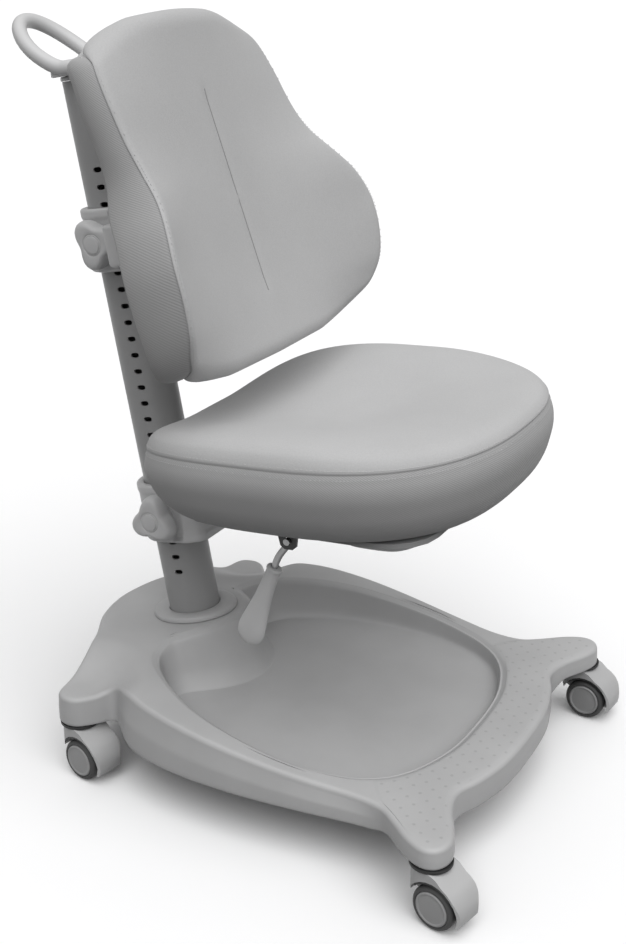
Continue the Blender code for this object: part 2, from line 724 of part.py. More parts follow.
def build_hood(shop, name, swivel, colour):
    """A caster's hood: round head, fender and the web between the wheels, in one piece."""
    inner = WHEEL_RADIUS + WHEEL_CLEARANCE
    half_width = WEB_HALF_WIDTH + WHEEL_SIDE_GAP + WHEEL_WIDTH - 0.001
    hood = shop.place(name, side_extrusion(hood_outline(), half_width * 1.1), parent=swivel, colour=colour)
    shop.boolean(hood, outline_mesh([hood_plan(half_width)], 0.08), "INTERSECT")
    for sign in (-1, 1):
        pocket = cylinder_mesh(inner, 0.04, 24, axis="X", centre=(sign * (WEB_HALF_WIDTH + 0.02), 0, 0))
        shop.boolean(hood, pocket, "DIFFERENCE", location=(0, -CASTER_TRAIL, WHEEL_RADIUS))
    bore = cylinder_mesh(STEM_RADIUS + ROUND_GAP, 0.04, 12, centre=(0, 0, STEM_LOW - FIT + 0.02))
    shop.boolean(hood, bore, "DIFFERENCE")
    axle_bore = cylinder_mesh(AXLE_RADIUS + FIT, 0.03, 12, axis="X")
    shop.boolean(hood, axle_bore, "DIFFERENCE", location=(0, -CASTER_TRAIL, WHEEL_RADIUS))
    return hood


def build_casters(shop, shell_colour, tyre_colour, disc_colour, steel):
    """Four twin-wheel swivel casters."""
    half_width = WEB_HALF_WIDTH + WHEEL_SIDE_GAP + WHEEL_WIDTH
    hub_radius = WHEEL_RADIUS - TYRE_THICKNESS - FIT * 2
    flange_low = HOOD_TOP + WHEEL_SIDE_GAP
    for name, (x, y, heading) in CASTERS.items():
        stem_profile = [
            (0, STEM_TOP), (STEM_RADIUS, STEM_TOP),
            (STEM_RADIUS, ARM_BOTTOM - FIT), (0.0085, ARM_BOTTOM - FIT), (0.0085, flange_low),
            (STEM_RADIUS, flange_low), (STEM_RADIUS, STEM_LOW), (0, STEM_LOW)]
        turned(shop, name + "_caster_stem", stem_profile, 12, location=(x, y, 0), colour=steel)
        swivel = shop.guide(name + "_swivel", location=(x, y, 0), rotation=(0, 0, heading))
        build_hood(shop, name + "_caster_hood", swivel, shell_colour)
        axle = shop.guide(name + "_axle_line", parent=swivel, location=(0, -CASTER_TRAIL, WHEEL_RADIUS))
        shaft = cylinder_mesh(AXLE_RADIUS, half_width * 2 - 0.012, 12, axis="X")
        shop.place(name + "_caster_axle", shaft, parent=axle, colour=steel)
        outward = 1 if x > 0 else -1
        for side, sign in (("outer", outward), ("inner", -outward)):
            build_wheel(shop, "%s_%s" % (name, side), axle, sign, hub_radius, tyre_colour, disc_colour)


def build_wheel(shop, name, axle, sign, hub_radius, tyre_colour, disc_colour):
    """One tyre on its disc, on the side of the web that sign gives."""
    near = WEB_HALF_WIDTH + WHEEL_SIDE_GAP
    turn = (0, sign * pi / 2, 0)
    outer = near + WHEEL_WIDTH
    tyre_profile = [
        (hub_radius + FIT * 2, outer - 0.001), (WHEEL_RADIUS - 0.0022, outer - 0.001),
        (WHEEL_RADIUS, outer - 0.0035), (WHEEL_RADIUS, near + 0.0025), (WHEEL_RADIUS - 0.0015, near + 0.001),
        (hub_radius + FIT * 2, near + 0.001), (hub_radius + FIT * 2, outer - 0.001)]
    turned(shop, name + "_tyre", tyre_profile, WHEEL_SIDES, parent=axle, rotation=turn, colour=tyre_colour)
    bore = AXLE_RADIUS + ROUND_GAP
    disc_profile = [
        (0, outer + 0.0004), (hub_radius - 0.0012, outer), (hub_radius, outer - 0.0014),
        (hub_radius, near), (bore, near), (bore, outer - 0.0055), (0, outer - 0.0055)]
    turned(shop, name + "_disc", disc_profile, WHEEL_SIDES, parent=axle, rotation=turn, colour=disc_colour)


# ================================================================ clamps
def clamp_outline(nose):
    """Outer outline of a clamp in the mast's plan: an oval drawn out to a flat nose at the front."""
    half_width = MAST_HALF_WIDTH + CLAMP_WALL
    half_depth = MAST_HALF_DEPTH + CLAMP_WALL
    rear = [(half_width * cos(a), half_depth * sin(a)) for a in [pi * i / 12 for i in range(13)]]
    front = -half_depth - nose
    side = half_width - 0.008
    corner = [(-half_width, front + 0.022), (-side, front + 0.006), (-side + 0.008, front),
              (side - 0.008, front), (side, front + 0.006), (half_width, front + 0.022)]
    return rear + corner


def build_clamp(shop, name, nose, parent, colour):
    """A sliding clamp round the mast, with a boss on its right for the pull-pin."""
    bore = ellipse(MAST_HALF_WIDTH + SLIDE_GAP, MAST_HALF_DEPTH + SLIDE_GAP)
    low = -CLAMP_HEIGHT / 2
    mesh = outline_mesh([clamp_outline(nose), bore], CLAMP_HEIGHT, start=low)
    clamp = shop.place(name, mesh, parent=parent, colour=colour)
    bevel(clamp, 0.0025, 1, 50)
    boss = cylinder_mesh(BOSS_RADIUS, CLAMP_WALL / 2 + BOSS_LENGTH, 16, axis="X",
                         centre=(-MAST_HALF_WIDTH - CLAMP_WALL * 0.75 - BOSS_LENGTH / 2, HOLE_OFFSET, 0))
    shop.boolean(clamp, boss, "UNION")
    for side in (-1, 1):
        pocket = box_mesh((0.010, 0.014, CLAMP_HEIGHT * 0.62),
                          (side * (MAST_HALF_WIDTH + CLAMP_WALL + 0.0015), -MAST_HALF_DEPTH * 0.78, 0))
        shop.boolean(clamp, pocket, "DIFFERENCE")
    hole = cylinder_mesh(PIN_SHANK_RADIUS + ROUND_GAP, 0.03, 16, axis="X",
                         centre=(-MAST_HALF_WIDTH - 0.012, HOLE_OFFSET, 0))
    shop.boolean(clamp, hole, "DIFFERENCE")
    return clamp


def build_lock(shop, name, turn, carriage, knob_colour, steel):
    """A pull-pin that faces one hole of the mast, with its knob and cap."""
    shoulder = MAST_HALF_WIDTH + CLAMP_WALL + BOSS_LENGTH + KNOB_STANDOFF
    pin_line = shop.guide(name + "_pin_line", parent=carriage, location=(0, HOLE_OFFSET, 0), rotation=(0, -pi / 2, 0))
    tip = MAST_HALF_WIDTH + FIT
    grip_end = shoulder + KNOB_THICKNESS * 0.7
    pin_profile = [
        (0, grip_end), (PIN_SHANK_RADIUS, grip_end), (PIN_SHANK_RADIUS, tip + 0.008),
        (PIN_RADIUS, tip + 0.0065), (PIN_RADIUS, tip + 0.001), (PIN_RADIUS - 0.001, tip), (0, tip)]
    turned(shop, name + "_lock_pin", pin_profile, 12, parent=pin_line, colour=steel)

    lobes = []
    for step in range(KNOB_SIDES):
        angle = 2 * pi * step / KNOB_SIDES
        radius = KNOB_RADIUS * (0.865 + 0.135 * cos(3 * (angle - turn)))
        lobes.append((radius * cos(angle), radius * sin(angle)))
    knob = shop.place(name + "_knob", outline_mesh([lobes], KNOB_THICKNESS, start=shoulder),
                      parent=pin_line, colour=knob_colour)
    bevel(knob, 0.004, 1, 60)
    socket = cylinder_mesh(PIN_SHANK_RADIUS + FIT, 0.04, 16, centre=(0, 0, grip_end + FIT - 0.02))
    shop.boolean(knob, socket, "DIFFERENCE")
    recess = cylinder_mesh(KNOB_CAP_RADIUS + FIT * 1.5, 0.004, 20, centre=(0, 0, shoulder + KNOB_THICKNESS))
    shop.boolean(knob, recess, "DIFFERENCE")
    cap_low = shoulder + KNOB_THICKNESS - 0.002 + FIT
    cap_profile = [(0, cap_low + 0.0030), (KNOB_CAP_RADIUS - 0.0015, cap_low + 0.0026),
                   (KNOB_CAP_RADIUS, cap_low + 0.0014), (KNOB_CAP_RADIUS, cap_low), (0, cap_low)]
    turned(shop, name + "_knob_cap", cap_profile, 20, parent=pin_line, colour=knob_colour)
    return pin_line


# ================================================================ backrest
def back_curve(height, half_width, wing, set_back):
    """Points across the backrest at one height, from its right side to its left."""
    points = []
    for step in range(BACK_COLUMNS):
        share = -1 + 2 * step / (BACK_COLUMNS - 1)
        points.append((share * (half_width - BACK_EDGE), wing * abs(share) ** BACK_WRAP + set_back, height))
    return points


def back_ring(height, half_width, wing, front_y, rear_y):
    """Closed section of the cushion: front face, round side and rear face."""
    front = back_curve(height, half_width, wing, front_y)
    rear = back_curve(height, half_width, wing, rear_y)
    side = []
    for inset_x, share in ((0.002, 0.2), (0.0, 0.5), (0.002, 0.8)):
        side.append((half_width - inset_x, wing + mix(front_y, rear_y, share), height))
    other_side = [(-x, y, z) for x, y, z in reversed(side)]
    return front + side + list(reversed(rear)) + other_side


def build_backrest(shop, cushion_colour, shell_colour):
    """The backrest's cushion and its rear shell."""
    place = ahead_of_hole(BACKREST_HOLE, BACK_REACH, BACK_RISE)
    frame = shop.guide("backrest_frame", location=place, rotation=(-BACK_LEAN, 0, 0))
    rings = [back_ring(*row) for row in BACK_SECTIONS]
    shop.place("backrest_cushion", loft_mesh("backrest_cushion", rings, triangles=True),
               parent=frame, colour=cushion_colour)

    shell_rings = []
    for height, half_width, wing, _, rear_y in BACK_SECTIONS[1:-1]:
        near = back_curve(height, half_width, wing, rear_y + FIT * 2)
        far = back_curve(height, half_width, wing, rear_y + FIT * 2 + BACK_SHELL_THICKNESS)
        shell_rings.append(near + list(reversed(far)))
    shop.place("backrest_shell", loft_mesh("backrest_shell", shell_rings, triangles=True),
               parent=frame, colour=shell_colour)
    return frame


def build_bracket(shop, carriage, frame, colour):
    """Moulded yoke between the backrest clamp and the backrest's rear shell."""
    clamp_front = -(MAST_HALF_DEPTH + CLAMP_WALL + BACKREST_CLAMP_NOSE) - FIT
    rear = HOLE_OFFSET - KNOB_RADIUS - KNOB_STANDOFF
    outline = [(-BRACKET_STOCK, -BRACKET_HALF_HEIGHT), (rear, -BRACKET_HALF_HEIGHT),
               (rear, BRACKET_HALF_HEIGHT), (-BRACKET_STOCK, BRACKET_HALF_HEIGHT)]
    bracket = shop.place("backrest_bracket", side_extrusion(outline, BRACKET_HALF_WIDTH),
                         parent=carriage, colour=colour)
    clamp_space = box_mesh((BRACKET_ARM_GAP * 2, BRACKET_STOCK, BRACKET_HALF_HEIGHT * 3),
                           (0, clamp_front + BRACKET_STOCK / 2, 0))
    shop.boolean(bracket, clamp_space, "DIFFERENCE")
    low, high = BRACKET_BEARING
    shell_rear = max(row[4] for row in BACK_SECTIONS if low < row[0] < high) + BACK_SHELL_THICKNESS + FIT * 3
    front_space = box_mesh((BRACKET_HALF_WIDTH * 3, BRACKET_STOCK * 2, BRACKET_STOCK * 3),
                           (0, shell_rear - BRACKET_STOCK, 0))
    shop.boolean(bracket, front_space, "DIFFERENCE", parent=frame)
    bevel(bracket, 0.004, 2, 50)
    return bracket


# ================================================================ seat
def seat_plan(grow=0.0, sides=36):
    """The seat's outline in its own frame: a rounded square, wider at the rear."""
    points = []
    for step in range(sides):
        angle = 2 * pi * step / sides
        across = cos(angle)
        along = sin(angle)
        squareness = SEAT_REAR_SQUARENESS if along > 0 else SEAT_FRONT_SQUARENESS
        y = (SEAT_HALF_LENGTH + grow) * abs(along) ** (2 / squareness) * (1 if along > 0 else -1)
        x = (SEAT_HALF_WIDTH + grow) * abs(across) ** (2 / squareness) * (1 if across > 0 else -1)
        points.append((x * (1 + SEAT_TAPER * y / SEAT_HALF_LENGTH), y))
    return points


def build_seat(shop, frame, cushion_colour, panel_colour, cover_colour):
    """Seat cushion on its panel, with the moulded cover under the front."""
    rings = []
    for grow, height in ((-0.036, -CUSHION_DROP), (-0.020, -CUSHION_DROP + 0.006), (-0.0065, -CUSHION_DROP + 0.022),
                         (0.0033, -CUSHION_DROP * 0.45), (0.0, 0.0), (-0.006, 0.010)):
        rings.append([(x, y, height) for x, y in seat_plan(grow)])
    edge = seat_plan(-0.006)
    for share in (0.90, 0.74, 0.5, 0.22):
        rise = CUSHION_CROWN * smooth_step((1 - share) / 0.15) + 0.008 * (1 - smooth_step((1 - share) / 0.15))
        dip = CUSHION_DISH * smooth_step((0.9 - share) / 0.9)
        rings.append([(x * share, y * share, rise - dip) for x, y in edge])
    shop.place("seat_cushion", loft_mesh("seat_cushion", rings), parent=frame, colour=cushion_colour)

    panel_top = -CUSHION_DROP - FIT
    panel = outline_mesh([rounded_box(PANEL_HALF_WIDTH, -PANEL_HALF_LENGTH, PANEL_HALF_LENGTH, 0.05)],
                         PANEL_THICKNESS, start=panel_top - PANEL_THICKNESS)
    shop.place("seat_panel", panel, parent=frame, colour=panel_colour)

    cover_top = panel_top - PANEL_THICKNESS - FIT
    outline = rounded_box(COVER_HALF_WIDTH, COVER_FRONT, COVER_REAR, 0.03)
    centre = ((COVER_FRONT + COVER_REAR) / 2)
    lower = [(x * 0.90, centre + (y - centre) * 0.80) for x, y in outline]
    rim = [(x, y, cover_top) for x, y in outline]
    low = [(x, y, cover_top - COVER_DEPTH) for x, y in lower]
    shop.place("seat_under_cover", loft_mesh("seat_under_cover", [rim, low]), parent=frame, colour=cover_colour)
    return panel_top - PANEL_THICKNESS


def build_slide(shop, carriage, frame, panel_low, steel, rail_colour):
    """The arm that reaches forward from the clamp, its slide plate, and the rails that run on the plate."""
    plate_top = panel_low - PLATE_DROP
    plate_low = plate_top - SLIDE_PLATE_THICKNESS
    plan = rounded_box(SLIDE_PLATE_HALF_WIDTH, ARM_FRONT, PLATE_REAR, PLATE_CORNER)
    shop.place("seat_slide_plate", outline_mesh([plan], SLIDE_PLATE_THICKNESS, start=plate_low),
               parent=frame, colour=steel)
    beam = box_mesh((ARM_HALF_WIDTH * 2, ARM_STOCK, ARM_DEPTH),
                    (0, ARM_FRONT + ARM_SETBACK + ARM_STOCK / 2, plate_low - FIT - ARM_DEPTH / 2))
    arm = shop.place("seat_arm", beam, parent=frame, colour=steel)
    clamp_front = -(MAST_HALF_DEPTH + CLAMP_WALL + SEAT_CLAMP_NOSE) - FIT
    trim = box_mesh((ARM_STOCK, ARM_STOCK, ARM_STOCK), (0, clamp_front + ARM_STOCK / 2, 0))
    shop.boolean(arm, trim, "DIFFERENCE", parent=carriage)

    inner = SLIDE_PLATE_HALF_WIDTH + SLIDE_GAP
    lip = SLIDE_PLATE_HALF_WIDTH - RAIL_LIP
    top = panel_low - FIT
    below = plate_low - SLIDE_GAP
    outline = [(lip, top), (inner + RAIL_WALL, top), (inner + RAIL_WALL, below - RAIL_WALL), (lip, below - RAIL_WALL),
               (lip, below), (inner, below), (inner, plate_top + SLIDE_GAP), (lip, plate_top + SLIDE_GAP)]
    stand = Matrix(((1, 0, 0, 0), (0, 0, -1, 0), (0, 1, 0, 0), (0, 0, 0, 1)))
    for side, sign in (("left", 1), ("right", -1)):
        mesh = outline_mesh([[(sign * x, z) for x, z in outline]], RAIL_REAR - RAIL_FRONT, start=-RAIL_REAR)
        mesh.transform(stand)
        shop.place("seat_rail_" + side, mesh, parent=frame, colour=rail_colour)


# ================================================================ lever
def build_lever(shop, frame, panel_low, black, steel, grip_colour):
    """Bracket under the panel, cross shaft, rod, paddle grip and return spring."""
    pivot = shop.guide("lever_pivot", parent=frame, location=(LEVER_X, LEVER_Y, panel_low - LEVER_DROP))
    reach = LEVER_DROP - FIT
    bracket = shop.place("lever_bracket",
                         box_mesh((LEVER_BRACKET_LENGTH, LEVER_BRACKET_WIDTH, LEVER_BRACKET_SHEET),
                                  (LEVER_BRACKET_MIDDLE, 0, reach - LEVER_BRACKET_SHEET / 2)),
                         parent=pivot, colour=black)
    top = reach - LEVER_BRACKET_SHEET / 3
    low = -LEVER_EAR_RADIUS
    wide = LEVER_EAR_HALF_WIDTH
    outline = [(-wide, top), (low, low * 0.6), (low / 2, low), (-low / 2, low), (-low, low * 0.6), (wide, top)]
    ear_reach = LEVER_BRACKET_LENGTH / 2 - LEVER_BRACKET_SHEET * 0.8
    for x in (LEVER_BRACKET_MIDDLE - ear_reach, LEVER_BRACKET_MIDDLE + ear_reach):
        ear = side_extrusion(outline, LEVER_BRACKET_SHEET / 2)
        shop.boolean(bracket, ear, "UNION", location=(x, 0, 0))
    bore = cylinder_mesh(LEVER_SHAFT_RADIUS + ROUND_GAP, LEVER_BRACKET_LENGTH * 1.5, 16, axis="X",
                         centre=(LEVER_BRACKET_MIDDLE, 0, 0))
    shop.boolean(bracket, bore, "DIFFERENCE")

    shaft_end = -LEVER_X - ARM_HALF_WIDTH - LEVER_SHAFT_CLEARANCE
    shaft = cylinder_mesh(LEVER_SHAFT_RADIUS, shaft_end - LEVER_SHAFT_START, 16, axis="X",
                          centre=((shaft_end + LEVER_SHAFT_START) / 2, 0, 0))
    shop.place("lever_shaft", shaft, parent=pivot, colour=steel)

    swing = shop.guide("lever_swing", parent=pivot, rotation=(LEVER_LEAN, 0, 0))
    rod = cylinder_mesh(LEVER_ROD_RADIUS, LEVER_ROD_LENGTH, 12,
                        centre=(0, 0, -LEVER_SHAFT_RADIUS - FIT - LEVER_ROD_LENGTH / 2))
    shop.place("lever_rod", rod, parent=swing, colour=steel)

    start = -LEVER_SHAFT_RADIUS - FIT - LEVER_ROD_LENGTH + LEVER_ROD_OVERLAP
    rings = []
    for along, wide, deep in GRIP_SECTIONS:
        plan = ellipse(GRIP_HALF_DEPTH * deep, GRIP_HALF_WIDTH * wide, 12)
        rings.append([(x, y, start - GRIP_LENGTH * along) for x, y in plan])
    grip = shop.place("lever_grip", loft_mesh("lever_grip", rings), parent=swing, colour=grip_colour)
    depth = LEVER_ROD_OVERLAP + FIT
    socket = cylinder_mesh(LEVER_ROD_RADIUS + FIT, depth * 2, 12, centre=(0, 0, start))
    shop.boolean(grip, socket, "DIFFERENCE")

    coil = []
    steps = SPRING_TURNS * 8
    for step in range(steps + 1):
        angle = 2 * pi * step / 8
        coil.append((SPRING_START + SPRING_LENGTH * step / steps, SPRING_RADIUS * cos(angle),
                     SPRING_RADIUS * sin(angle)))
    shop.place("lever_spring", tube_mesh(coil, SPRING_WIRE_RADIUS, 0), parent=pivot, colour=steel)


# ================================================================ assembly
def main():
    """Build the whole chair."""
    clear_scene()
    shop = Workshop("study_chair")
    shell_grey = make_material("moulded_grey", (0.60, 0.60, 0.61), 0.42)
    mast_grey = make_material("mast_enamel", (0.42, 0.42, 0.43), 0.38, 0.2)
    trim_grey = make_material("trim_grey", (0.62, 0.62, 0.63), 0.38)
    fabric_grey = make_material("seat_fabric", (0.45, 0.45, 0.46), 0.9)
    tyre_grey = make_material("tyre_grey", (0.07, 0.07, 0.07), 0.7)
    black = make_material("black_steel", (0.02, 0.02, 0.02), 0.45, 0.4)
    steel = make_material("zinc_steel", (0.35, 0.35, 0.36), 0.35, 0.9)

    mast_frame = shop.guide("mast_frame", location=(0, MAST_FOOT_Y, 0), rotation=(-MAST_LEAN, 0, 0))
    build_base(shop, mast_frame, shell_grey, steel)
    build_mast(shop, mast_frame, mast_grey, trim_grey)
    build_casters(shop, shell_grey, tyre_grey, trim_grey, steel)

    back_carriage = shop.guide("backrest_carriage", parent=mast_frame, location=(0, 0, hole_station(BACKREST_HOLE)))
    build_clamp(shop, "backrest_clamp", BACKREST_CLAMP_NOSE, back_carriage, trim_grey)
    build_lock(shop, "backrest", BACKREST_KNOB_TURN, back_carriage, trim_grey, steel)
    back_frame = build_backrest(shop, fabric_grey, shell_grey)
    build_bracket(shop, back_carriage, back_frame, trim_grey)

    seat_carriage = shop.guide("seat_carriage", parent=mast_frame, location=(0, 0, hole_station(SEAT_HOLE)))
    build_clamp(shop, "seat_clamp", SEAT_CLAMP_NOSE, seat_carriage, trim_grey)
    build_lock(shop, "seat", SEAT_KNOB_TURN, seat_carriage, trim_grey, steel)
    place = ahead_of_hole(SEAT_HOLE, SEAT_REACH, SEAT_RISE)
    seat_frame = shop.guide("seat_frame", location=place, rotation=(-SEAT_TILT, 0, 0))
    panel_low = build_seat(shop, seat_frame, fabric_grey, black, trim_grey)
    build_slide(shop, seat_carriage, seat_frame, panel_low, steel, black)
    build_lever(shop, seat_frame, panel_low, black, steel, trim_grey)
    bpy.context.view_layer.update()


main()
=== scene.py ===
"""Looks of a height-adjustable study chair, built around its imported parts.

Every length is in metres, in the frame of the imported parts: +Z up, the sitter faces -Y.
Each new piece is a surface of two parameters worked out with numpy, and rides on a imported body.
"""
import json
from math import atan2, cos, pi, radians, sin, tan

import bmesh
import bpy
import numpy as np
from bpy.props import FloatProperty, FloatVectorProperty, PointerProperty
from mathutils import Matrix, Vector


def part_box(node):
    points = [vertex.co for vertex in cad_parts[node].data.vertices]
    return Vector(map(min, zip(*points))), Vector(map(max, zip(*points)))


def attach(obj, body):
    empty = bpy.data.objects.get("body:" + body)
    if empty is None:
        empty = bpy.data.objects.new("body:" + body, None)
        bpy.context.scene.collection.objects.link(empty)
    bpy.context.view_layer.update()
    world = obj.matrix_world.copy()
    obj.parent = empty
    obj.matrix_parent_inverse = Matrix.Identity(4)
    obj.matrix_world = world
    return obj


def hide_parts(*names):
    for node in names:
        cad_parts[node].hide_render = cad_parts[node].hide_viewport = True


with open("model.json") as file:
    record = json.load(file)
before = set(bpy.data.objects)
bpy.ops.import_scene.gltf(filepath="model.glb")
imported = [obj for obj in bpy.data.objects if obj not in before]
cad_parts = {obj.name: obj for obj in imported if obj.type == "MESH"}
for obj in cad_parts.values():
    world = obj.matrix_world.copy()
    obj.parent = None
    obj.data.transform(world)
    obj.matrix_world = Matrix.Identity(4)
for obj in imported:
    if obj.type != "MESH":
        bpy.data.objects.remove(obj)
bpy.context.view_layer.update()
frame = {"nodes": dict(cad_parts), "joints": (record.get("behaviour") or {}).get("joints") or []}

bl_info = {
    "name": "Study chair looks",
    "version": (1, 0, 0),
    "blender": (4, 5, 0),
    "location": "3D View > Sidebar > Study chair",
    "description": "Builds the visible pieces of a height-adjustable study chair",
    "category": "Object",
}

NODES = frame["nodes"]
JOINTS = {joint["name"]: joint for joint in frame["joints"]}
CASTERS = ("front_right", "front_left", "rear_right", "rear_left")
GAP = 0.0003
SHEET_WELD = 0.000002       # merges the points that sheets share
STITCH_WELD = 0.0000001
MAST_WELD = 0.00002
PACKED_WELD = 0.00001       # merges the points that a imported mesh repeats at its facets
FLAT_ANGLE = radians(1.5)   # packed facets within this angle become one flat face

# ---------------------------------------------------------------- mast
MAST_FOOT = np.array([0.0, 0.107, 0.0])  # where its axis meets the floor
ALONG = np.array(JOINTS["backrest_height"]["axis"])
REARWARD = np.array([0.0, ALONG[2], -ALONG[1]])
ACROSS = np.array([1.0, 0.0, 0.0])
MAST_AXES = (ACROSS, REARWARD, ALONG)
MAST_LEAN = atan2(ALONG[1], ALONG[2])
MAST_HALF_WIDTH = 0.0305
MAST_HALF_DEPTH = 0.033
MAST_WALL = 0.0022
MAST_START = 0.070
MAST_END = 0.806
HOLE_PITCH = 0.020
HOLE_COUNT = 26
HOLE_TOP = 0.7046
HOLE_OFFSET = -0.0075
HOLE_HALF = (0.0050, 0.0031)
TILE_HALF_WIDTH = 0.009
TILE_SIDE = 6               # cells along each side of the patch round a hole
BACKREST_STATION = HOLE_TOP - HOLE_PITCH * 4
SEAT_STATION = HOLE_TOP - HOLE_PITCH * 21
CAP_LOW = MAST_END + GAP
CAP_THICKNESS = 0.005
HANDLE_HALF_WIDTH = 0.042
HANDLE_REACH = 0.075
HANDLE_FRONT = 0.022
HANDLE_CORNER = 0.018
HANDLE_LIFT = 0.0595
HANDLE_CURL = 1.5

# ---------------------------------------------------------------- base
FLOOR_TOP = 0.075
SHELL_WALL = 0.004
FRONT_HEIGHT = 0.094
RAIL_HEIGHT = 0.131
REAR_ARM_HEIGHT = 0.107
DOME_HEIGHT = 0.139
DOME_FLAT = 1.06            # collar widths from the mast to where the dome starts to fall away
DOME_SPREAD = 1.25          # collar widths over which it falls
CLIMB_START = -0.24
CLIMB_LENGTH = 0.38         # over which the top climbs from the front to the rails
ARM_REACH = 0.088           # from a caster's pivot to where its arm begins
REAR_ARM_FADE = 0.072       # over which the top drops to a rear arm
SKIRT_FADE = 0.036          # over which the skirt rises over a caster
SKIRT_BOTTOM = 0.060
ARM_BOTTOM = 0.070
COLLAR_HALF_WIDTH = 0.048
COLLAR_HALF_DEPTH = 0.056
COLLAR_THICKNESS = 0.007
PAD_LIFT = 0.0008           # how proud the dimpled tread stands on the front

# plan of the base's left half, front to rear: edge of the skirt and rim of the tray
BASE_PLAN = np.array([
    ((0.000, -0.326), (0.000, -0.262)),
    ((0.062, -0.323), (0.060, -0.259)),
    ((0.112, -0.311), (0.100, -0.2485)),
    ((0.142, -0.299), (0.122, -0.2395)),
    ((0.172, -0.305), (0.132, -0.234)),
    ((0.205, -0.322), (0.138, -0.230)),
    ((0.229, -0.3285), (0.143, -0.2265)),
    ((0.247, -0.321), (0.148, -0.2225)),
    ((0.2525, -0.304), (0.153, -0.218)),
    ((0.242, -0.280), (0.159, -0.211)),
    ((0.220, -0.252), (0.168, -0.1985)),
    ((0.208, -0.231), (0.177, -0.181)),
    ((0.210, -0.196), (0.1875, -0.146)),
    ((0.218, -0.140), (0.193, -0.106)),
    ((0.225, -0.070), (0.192, -0.056)),
    ((0.226, -0.005), (0.184, -0.004)),
    ((0.219, 0.056), (0.168, 0.042)),
    ((0.203, 0.100), (0.148, 0.076)),
    ((0.180, 0.130), (0.131, 0.098)),
    ((0.196, 0.147), (0.122, 0.106)),
    ((0.212, 0.162), (0.114, 0.112)),
    ((0.215, 0.180), (0.105, 0.116)),
    ((0.203, 0.197), (0.095, 0.118)),
    ((0.165, 0.202), (0.081, 0.117)),
    ((0.130, 0.207), (0.072, 0.108)),
    ((0.098, 0.218), (0.060, 0.095)),
    ((0.055, 0.241), (0.042, 0.078)),
    ((0.000, 0.252), (0.000, 0.060)),
])
# foot of the tray's wall round the dome, for the last rows of the plan
TRAY_FOOT = np.array([
    (0.1400, 0.0720), (0.1245, 0.0860), (0.1165, 0.0920), (0.1085, 0.0950), (0.1000, 0.0945),
    (0.0920, 0.0905), (0.0835, 0.0825), (0.0740, 0.0720), (0.0600, 0.0565), (0.0370, 0.0395),
    (0.0000, 0.0300),
])
TRAY_FOOT_INSET = 0.008     # elsewhere, from the rim
TRAY_LIP = 0.0055           # from the rim out to where the top begins to roll into the tray
TRAY_MIDDLE = (0.0, -0.095)
# tray wall: share of the way from the rim to the foot, and of the height, beside the rails and round the dome
TRAY_WALL = ((0.125, 0.84, 0.92), (0.375, 0.50, 0.64), (0.625, 0.15, 0.30), (1.0, 0.03, 0.03))
PLAN_STEPS = 10             # points from one row of the plan to the next
SKIRT_LEAN = (0.0008, 0.0050)  # how far the wall leans in, at the arms and along the rails
SKIRT_CREASE = 0.50         # share of the wall's height at which it starts to lean
SKIRT_LIP = 0.0016
EDGE_DROP = (0.0055, 0.0065)  # height of the rounded top edge, at the arms and along the rails
PAD_END = (9.6, 10.7)       # rows of the plan at which the tread ends, at the rim and at the skirt

# ---------------------------------------------------------------- seat and backrest
SEAT_ORIGIN = np.array([0.0, -0.091, 0.450])
SEAT_TILT = radians(4.9)
SEAT_AXES = (ACROSS, np.array([0.0, cos(SEAT_TILT), -sin(SEAT_TILT)]),
             np.array([0.0, sin(SEAT_TILT), cos(SEAT_TILT)]))
SEAT_HALF_WIDTH = 0.211
SEAT_HALF_LENGTH = 0.209
SEAT_REAR_LENGTH = 0.2062
SEAT_TAPER = 0.02
SEAT_FRONT_POWER = 2.56
SEAT_REAR_POWER = 3.04
SEAT_FRONT_CROWN = 0.68     # height of the front edge over its seam, as a share of the sides'
SEAT_DIP = 0.0329           # how far the rear edge sinks in its middle
SEAT_DIP_START = 0.029
SEAT_DIP_FLAT = 0.030       # half width of the dip's level middle
SEAT_DIP_WIDTH = 0.235
SEAT_FALL_START = -0.020    # where the sides start to fall towards the front edge
SEAT_FALL_LENGTH = 0.160
CUSHION_DROP = 0.086
PANEL_THICKNESS = 0.006
# distance in from the seat's outline and height over its seam: the tucked lower edge, and the seam itself
SEAT_TUCK = np.array([
    (0.054, -CUSHION_DROP), (0.037, -CUSHION_DROP + 0.0008), (0.0235, -CUSHION_DROP + 0.0060),
    (0.0118, -CUSHION_DROP + 0.0165), (0.0036, -CUSHION_DROP + 0.0300), (-0.0012, -0.042),
])
SEAT_SEAM = np.array([(0.0001, -0.0010), (0.0007, 0.0), (0.0002, 0.0010)])
# the same for the rim over the seam, its height as a share of the crown
SEAT_RIM = np.array([
    (0.0, 0.13), (0.0026, 0.40), (0.0068, 0.66), (0.0122, 0.82), (0.0180, 0.92), (0.0250, 0.98),
    (0.0340, 1.0),
])
COVER_HALF = (0.155, 0.060)  # half width and half length of the cover under the seat's front
COVER_MIDDLE = -0.090

